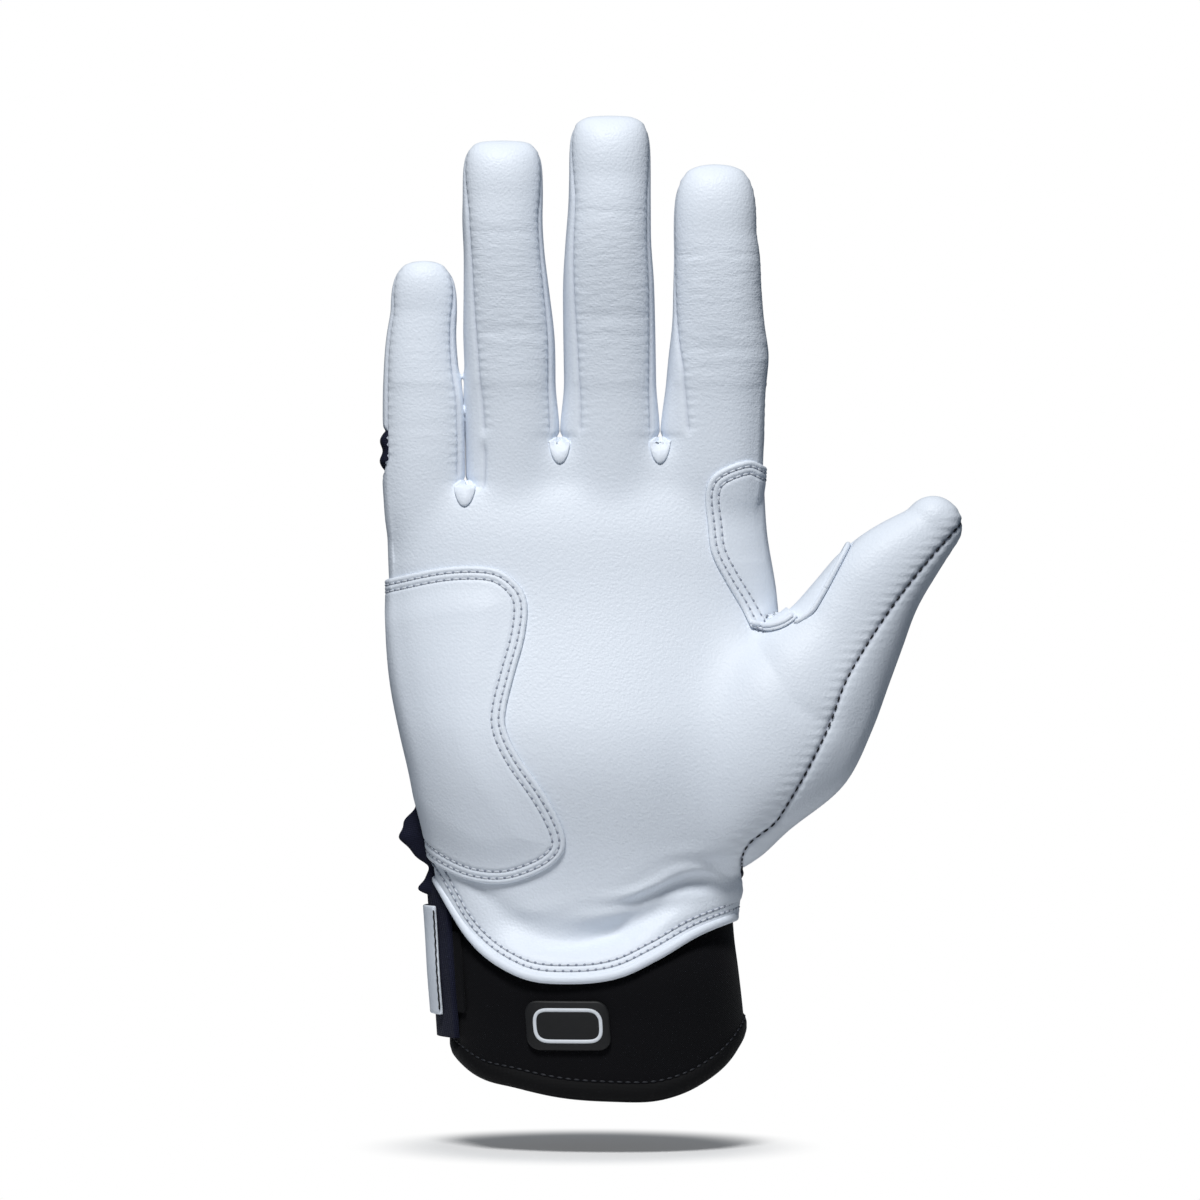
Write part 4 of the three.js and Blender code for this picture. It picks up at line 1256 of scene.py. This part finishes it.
def sewnPatch(look, shape, field):  # a padded patch, and the places of its points
    bm = patchMesh(look["box"], field)
    co = coordinates(bm)
    fromSide = (look["side"] - co[:, 1]) * sewnEdge["sideSlope"]
    raiseBy(bm, sewnProfile(np.minimum(shape(co), fromSide), look))
    return bm, co


def sewRows(bm, look, distance):
    for row in look["rows"]:
        handRow.sew(longestLine(bm, distance, row), lift=sewnEdge["thread"])


def makeHeel():
    shape = lineDistance([*roundedLine(heel["outline"], 90), *heel["outside"]], True)
    bm, co = sewnPatch(heel, shape, lambda co: np.minimum(shape(co), heel["side"] - co[:, 1]))
    sewRows(bm, heel, shape(co))
    nodes = ("heel_patch", "heel_foam_pad")
    patch = makePiece(bm, "heel_patch_cover", "plainLeather", onHand, nodes, heel["leather"])


def besideThumb(co):
    across, along = thumbAxes(co)
    return np.maximum(thumbShape["split"] - along, thumbShape["inside"] - across)


def makeWeb():
    outline = roundedLine(web["outline"], 60)
    rim = roundedLine(web["rim"], 16)
    shape = lineDistance([*outline, *rim[1:], *web["outside"]], True)
    bm, co = sewnPatch(web, shape, lambda co: np.minimum(
        np.minimum(shape(co), web["side"] - co[:, 1]), besideThumb(co)))
    rope = bmesh.new()
    ropeAlong(rope, longestLine(bm, lineDistance(rim, False)(co), web["rimLevel"]), *web["rimRope"])
    makePiece(rope, "web_rim_roll", "plainLeather", onHand)
    sewRows(bm, web, np.where(shape(co) > 0, lineDistance(outline, False)(co), 0))
    makePiece(bm, "web_gusset_patch", "plainLeather", onHand, ("web_gusset",), web["leather"])


gussets = {"heights": {"little": 147.0, "ring": 157.6, "middle": 157.6}, "half": 2.8, "drop": 5.4, "top": 1.4,
           "pointed": 1.3, "lift": 0.3, "rise": 0.8, "leather": 0.8, "reach": (8, 13)}


def makeGussets():
    look, half = gussets, gussets["half"]
    turns = np.radians(np.linspace(0, 180, 15))
    bowl = [(half * math.cos(t), -look["drop"] * math.sin(t) ** look["pointed"]) for t in turns]
    wide, tall = look["reach"]
    for first, second, *_ in crotches:
        x, z = fingerShape[first]["side"][1], look["heights"][first]
        outline = [(x + u, z + w) for u, w in [(half * 0.5, look["top"]), *bowl, (-half * 0.5, look["top"])]]
        shape = lineDistance(outline, True)
        bm = patchMesh(((x - wide, x + wide), (z - tall, z + tall)), shape)
        inside = np.clip(shape(coordinates(bm)) / half, 0, 1)
        raiseBy(bm, look["lift"] + look["rise"] * np.sqrt(1 - (1 - inside) ** 2))
        node = "crotch_gusset_" + first + "_" + second
        makePiece(bm, node + "_leather", "plainLeather", onHand, (node,), look["leather"])


makeHeel()
makeWeb()
makeGussets()
print("patches ready")


# Rolled binding of the palm's wrist edge, its two stitch rows, and the dark sewn seam of the thumb
wristEdge = {"box": ((-farAway, farAway), (-farAway, 70), 1.2), "rope": (0.8, 2.3, 2.2, -0.45),
             "sideStop": -3.5, "thread": -0.05}
thumbSewing = {"box": ((28, farAway), (-farAway, 150), 1), "pitch": 2.25, "sink": -0.55, "low": 46,
               "roll": (0.7, 1.3, 1.3, 0.12), "rollLap": (2.4, 0.8), "rollEnd": 30}


def makeEdges():
    bm = skinNear(*wristEdge["box"])
    fromEdge = edgeField(coordinates(bm))
    rope = bmesh.new()
    line = [(p, n) for p, n in longestLine(bm, fromEdge, 0.0) if p.x < 0 or p.y < wristEdge["sideStop"]]
    ropeAlong(rope, line, *wristEdge["rope"])
    makePiece(rope, "palm_edge_roll", "plainLeather", onHand, ("palm_edge_binding",))
    for row in wrist["rows"]:
        handRow.sew(longestLine(bm, fromEdge, row), lift=wristEdge["thread"])
    bm.free()


def partAlong(line, low, high):  # the stretch of a line between two places along the thumb
    return [(p, n) for p, n in line if low < thumbAxes(np.array([p[:]]))[1][0] <= high]


def makeThumbSewing():
    s, split, knee = thumbSewing, thumbShape["split"], thumbShape["kneeStart"]
    zones = {"hand": (-70, split), "base": (split, knee), "end": (knee, 60)}
    bm = skinNear(*s["box"])
    co = coordinates(bm)
    line = longestLine(bm, outerField(co), 0.0)
    across, along = thumbAxes(co)
    inner = longestLine(bm, across - throughKeys(thumbInner, along)[:, 0], 0.0)
    bm.free()
    before, after = s["rollLap"]
    for zone in ("base", "end"):
        low, high = zones[zone]
        rope = bmesh.new()
        ropeAlong(rope, partAlong(inner, low - before, min(high + after, s["rollEnd"])), *s["roll"])
        makePiece(rope, "thumb_inner_roll_" + zone, "plainLeather", thumbRider(zone))
    for zone, (low, high) in zones.items():
        part = [(p, n) for p, n in partAlong(line, low, high) if p.z > s["low"]]
        row = Row()
        row.sew(part, s["pitch"], s["sink"], holes=False)
        row.finish("thumb_seam_" + zone, "darkThread", onHand if zone == "hand" else thumbRider(zone))


makeEdges()
makeThumbSewing()
handRow.finish("hand_stitches", "whiteThread", ("hand",))
print("sewing ready")


# Cuff and strap: sheets wrapped round the wrist at their own distance from it
cuff = {"square": 2.2, "wall": 2.0, "top": 51, "tuck": 3.4, "slit": (1.85, 4.15), "sideGap": 0.003, "edge": 0.3,
        "hemBand": 4.6, "hemWall": 0.7, "hemMore": 0.6, "hemPitch": 2.1, "threadUp": 0.1, "threadOut": 0.15}
cuffKeys = [(-12, -32.6, 39.2, -25, 25), (15, -33.8, 38.4, -24.8, 24.8), (28, -34.8, 37, -23.6, 24.4),
            (36, -35.3, 36, -19, 24), (46, -36, 35.6, -18, 23.2), (56, -36.8, 36.4, -18, 23)]
hemKeys = [(-36, 9.2), (-32.1, 5.8), (-27.9, 2.8), (-18, 0.3), (-7.1, -1.9), (5.4, -2.8), (17.9, -2.5),
           (27.2, 0.9), (34.8, 6.5), (40, 13)]
cuffMiddle = keyAt(cuffKeys, 25)  # left, right, front, back


def cuffPoints(turn, z, offset):
    left, right, front, back = throughKeys(cuffKeys, z).T
    c, d = np.cos(turn), np.sin(turn)
    u = np.sign(c) * abs(c) ** (2 / cuff["square"])
    w = np.sign(d) * abs(d) ** (2 / cuff["square"])
    power = cuff["square"] - 1
    out = np.stack([np.sign(u) * abs(u) ** power / (right - left),
                    np.sign(w) * abs(w) ** power / (back - front)], 1)
    out = out / np.linalg.norm(out, axis=1)[:, None] * np.asarray(offset)[..., None]
    x = (left + right) / 2 + (right - left) / 2 * u + out[:, 0]
    return np.stack([x, (front + back) / 2 + (back - front) / 2 * w + out[:, 1], z], 1)


def cuffPoint(turn, z, offset):
    return Vector(cuffPoints(np.array([turn]), np.array([float(z)]), np.array([float(offset)]))[0])


def cuffSpot(turn, z, offset):  # a point off the cuff, and its way outwards
    place = cuffPoint(turn, z, offset)
    return place, (cuffPoint(turn, z, offset + 1) - place).normalized()


def turnAt(x, back):  # the turn round the cuff where it passes a place across, on one of its two sides
    left, right = cuffMiddle[:2]
    u = max(-1.0, min(1.0, (x - (left + right) / 2) / ((right - left) / 2)))
    turn = math.acos(math.copysign(abs(u) ** (cuff["square"] / 2), u))
    return turn if back else -turn


def hemHeight(turn):
    x, y = cuffPoint(turn, 10, 0)[:2]
    front = float(keyAt(hemKeys, x)[0])
    (startX, startZ), (endX, endZ) = hemKeys[0], hemKeys[-1]
    behind = startZ + (endZ - startZ) * (x - startX) / (endX - startX)
    return front + (behind - front) * float(smoothStep(y, -6, 6))


def wrapped(turns, low, high, offset, across, up):
    bm = bmesh.new()
    made = bmesh.ops.create_grid(bm, x_segments=across, y_segments=up, size=0.5)["verts"]
    columns = np.linspace(*turns, across + 1)
    bottoms, tops, offsets = [np.array([f(t) for t in columns]) for f in (low, high, offset)]
    column = np.array([round((v.co.x + 0.5) * across) for v in made])
    rise = np.array([v.co.y + 0.5 for v in made])
    heights = bottoms[column] + (tops - bottoms)[column] * rise
    for v, place in zip(made, cuffPoints(columns[column], heights, offsets[column])):
        v.co = place
    bmesh.ops.recalc_face_normals(bm, faces=bm.faces)
    first = bm.faces[:][0]
    middle = first.calc_center_median()
    if first.normal.dot(Vector((middle.x, middle.y, 0))) < 0:
        bmesh.ops.reverse_faces(bm, faces=bm.faces)
    return bm


def level(height):
    return lambda turn: height


def cuffTop(turn):  # the band ends a little way up under the palm's edge
    x = cuffPoint(turn, 40, 0).x
    return min(cuff["top"], float(keyAt(edgeKeys, x)[0]) + cuff["tuck"])


def makeCuff():  # turns run from the right side over the back to the left, then over the front
    inside, gap = cuff["wall"], cuff["sideGap"]
    early, late = [turnAt(x, True) for x in cuff["slit"]]
    sheets = {"cuff_palm_band": ((-math.pi + gap, -gap), cuffTop),
              "cuff_flap_ulnar": ((early, math.pi - gap), level(cuff["top"])),
              "cuff_flap_radial": ((gap, late), level(cuff["top"]))}
    for node, (turns, top) in sheets.items():
        bm = wrapped(turns, hemHeight, top, level(0), 90, 30)
        makePiece(bm, node + "_knit", "blackKnit", onHand, (node,), inside, cuff["edge"])
    loop = []
    for turn in np.linspace(early, late + 2 * math.pi, 220):
        place = cuffPoint(turn, hemHeight(turn) + cuff["hemBand"] / 2, -inside / 2)
        loop.append((place, cuffSpot(turn, 10, 0)[1]))
    hem = bmesh.new()
    ropeAlong(hem, loop, 1.2, cuff["hemBand"] + cuff["hemMore"], inside + 2 * cuff["hemWall"], 0)
    makePiece(hem, "cuff_hem_fold", "blackBinding", onHand, ("cuff_hem_binding",))
    seam = Row()
    up = Vector((0, 0, cuff["hemBand"] / 2 + cuff["threadUp"]))
    line = [(p + up + n * (inside / 2 + cuff["threadOut"]), n) for p, n in loop if p.y < 0]
    seam.sew(line, cuff["hemPitch"], 0, holes=False)
    seam.finish("cuff_hem_sewing", "darkThread", onHand)


badge = {"place": (-5.6, 15.5), "size": (20, 12), "corner": 3, "thick": 1.4, "edge": 0.45,
         "frame": (15.6, 7.6), "frameCorner": 2.2, "frameRope": (0.5, 0.9, 0.5, 0.05)}


def onCuff(u, w, rise):
    x, z = badge["place"]
    return cuffSpot(turnAt(x + u, False), z + w, rise)


def roundedRectangle(wide, tall, corner, steps=8):
    points = []
    for cx, cz, start in ((1, 1, 0), (-1, 1, 90), (-1, -1, 180), (1, -1, 270)):
        x, z = cx * (wide / 2 - corner), cz * (tall / 2 - corner)
        for turn in np.radians(np.linspace(start, start + 90, steps)):
            points.append((x + corner * math.cos(turn), z + corner * math.sin(turn)))
    return np.array([*points, points[0]])


def makeBadge():
    bm = bmesh.new()
    wide, tall = badge["size"]
    bmesh.ops.create_cube(bm, size=1, matrix=Matrix.Diagonal((wide, badge["thick"], tall, 1)))
    uprights = [e for e in bm.edges if abs(e.verts[0].co.y - e.verts[1].co.y) > 0.1]
    bmesh.ops.bevel(bm, geom=uprights, offset=badge["corner"], segments=6, **roundedEdges)
    top = [e for e in bm.edges if all(v.co.y < 0 for v in e.verts)]
    bmesh.ops.bevel(bm, geom=top, offset=badge["edge"], segments=3, **roundedEdges)
    for x in np.linspace(-9, 9, 13):
        every = bm.verts[:] + bm.edges[:] + bm.faces[:]
        bmesh.ops.bisect_plane(bm, geom=every, plane_co=(x, 0, 0), plane_no=(1, 0, 0))
    for v in bm.verts:
        v.co = onCuff(v.co.x, v.co.z, badge["thick"] / 2 - v.co.y)[0]
    bmesh.ops.recalc_face_normals(bm, faces=bm.faces)
    makePiece(bm, "wrist_badge_plate", "blackRubber", onHand, ("wrist_badge",))
    points = roundedRectangle(*badge["frame"], badge["frameCorner"])
    far = lengthAlong(points)
    at = np.linspace(0, far[-1], 80)
    line = [onCuff(u, w, badge["thick"]) for u, w in zip(*[np.interp(at, far, points[:, k]) for k in (0, 1)])]
    rope = bmesh.new()
    ropeAlong(rope, line, *badge["frameRope"], closed=True)
    makePiece(rope, "wrist_badge_frame", "whiteRubber", onHand)


strap = {"low": 11.5, "high": 49, "edge": -10.3, "end": 31, "faceHeights": (17, 43.5), "faceEdge": -6.5,
         "faceEnd": 17.5, "tabEnd": 30, "tabGap": 0.3, "hook": (1.4, 2.2), "base": (2.5, 3.9),
         "face": (4.2, 5.2), "tab": (4.2, 6.0), "loop": (0.3, 1.1), "loopSpan": (29, 9),
         "loopHeights": (18, 42), "anchor": (0.3, 0.9),
         "anchorSpan": (-10.6, -13.2), "anchorHeights": (17.8, 37.5),
         "settle": 2.0, "settleTurns": (0.5, 0.05),
         "roundReach": 0.16, "tabReach": 0.1, "blunt": 0.45, "zigzag": (2.2, 0.02, 0.01),
         "zigzagRope": (0.4, 0.5, 0.4, 0.05)}


def sideTurn(y):  # the turn on the little-finger side where the cuff passes a place towards the palm
    front, back = cuffMiddle[2:]
    w = (y - (front + back) / 2) / ((back - front) / 2)
    return math.pi + math.asin(abs(w) ** (cuff["square"] / 2))


def roundEnd(low, high, start, reach):
    middle, half, blunt = (low + high) / 2, (high - low) / 2, strap["blunt"]

    def height(side):
        def at(turn):
            share = min(1.0, abs(turn - start) / reach)
            return middle + side * half * (blunt + (1 - blunt) * math.sqrt(1 - (1 - share) ** 2))
        return at
    return height(-1), height(1)


def settle(turn):  # the strap lies down on the cuff towards its sewn edge
    start, end = [sideTurn(strap["edge"]) - before for before in strap["settleTurns"]]
    return strap["settle"] * float(smoothStep(turn, start, end))


def makeStrap():
    s = strap
    sewn, faceSewn = sideTurn(s["edge"]), sideTurn(s["faceEdge"])
    free, faceEnd, tabEnd, tabStart = [turnAt(x, True) for x in (
        s["end"], s["faceEnd"], s["tabEnd"], s["faceEnd"] + s["tabGap"])]
    loopTurns = [turnAt(x, True) for x in s["loopSpan"]]
    anchorTurns = [sideTurn(y) for y in s["anchorSpan"]]
    faceLevels, loopLevels, anchorLevels = [
        [level(z) for z in s[kind + "Heights"]] for kind in ("face", "loop", "anchor")]
    baseEnd = roundEnd(s["low"], s["high"], free, s["roundReach"])
    tabRound = roundEnd(*s["faceHeights"], tabEnd, s["tabReach"])
    for node, finish, slot, layer, turns, heights in (
            ("strap_base", "navyStretch", "navy_stretch", "base", (free, sewn), baseEnd),
            ("strap_face", "plainLeather", "white_leather", "face", (faceEnd, faceSewn), faceLevels),
            ("strap_pull_tab", "blackRubber", "moulded_rubber", "tab", (tabEnd, tabStart), tabRound),
            ("strap_hook_patch", "hookPile", "hook_and_loop", "hook", loopTurns, loopLevels)):
        inner, outer = s[layer]
        bm = wrapped(turns, *heights, lambda turn: outer - settle(turn), 90, 24)
        makePiece(bm, node + "_layer", finish, ("strap",), (node,), outer - inner, 0.35)
    for name, node, finish, slot, layer, turns, heights, steps, edge in (
            ("closure_loop_pile", "closure_loop_patch", "hookPile", "hook_and_loop", "loop",
             loopTurns, loopLevels, 40, 0.2),
            ("strap_anchor_fold", "strap_anchor_tab", "blackKnit", "navy_stretch", "anchor",
             anchorTurns, anchorLevels, 8, 0.5)):
        inner, outer = s[layer]
        bm = wrapped(turns, *heights, level(outer), steps, 20)
        makePiece(bm, name, finish, onHand, (node,), outer - inner, edge)
    face = s["face"][1] - settle(faceSewn)
    pitch, reach, inset = s["zigzag"]
    low, high = s["faceHeights"]
    line = []
    for z in np.arange(low + 1, high - 0.5, 0.25):
        sway = reach * (abs((z / pitch) % 1 - 0.5) * 4 - 1)
        line.append(cuffSpot(faceSewn + inset + sway, z, face))
    rope = bmesh.new()
    ropeAlong(rope, line, *s["zigzagRope"])
    makePiece(rope, "strap_zigzag_thread", "darkThread", ("strap",))


elastic = {"heights": (51, 56), "across": (-26, 22), "inset": 3.2, "thick": 0.9, "ripple": 0.25,
           "ripplePitch": 3.0}


def makeElastic():
    bm = bmesh.new()
    made = bmesh.ops.create_grid(bm, x_segments=60, y_segments=6, size=0.5)["verts"]
    (start, end), (low, high) = elastic["across"], elastic["heights"]
    for v in made:
        z = low + (high - low) * (v.co.y + 0.5)
        left, right, front, back = keyAt(handKeys, z)
        x = start + (end - start) * (v.co.x + 0.5)
        u = (x - (left + right) / 2) / ((right - left) / 2)
        y = (front + back) / 2 - (back - front) / 2 * domed(abs(u), handSquare)
        ripple = elastic["ripple"] * math.sin(x * 2 * math.pi / elastic["ripplePitch"])
        drawn = wristRecess(edgeField(np.array([[x, 0, z]])), x)[0]
        v.co = (x, y + elastic["inset"] + drawn + ripple, z)
    bmesh.ops.recalc_face_normals(bm, faces=bm.faces)
    makePiece(bm, "wrist_elastic_band", "elasticWeb", onHand, ("wrist_elastic",), elastic["thick"])


makeCuff()
makeBadge()
makeStrap()
makeElastic()
print("cuff and strap ready")
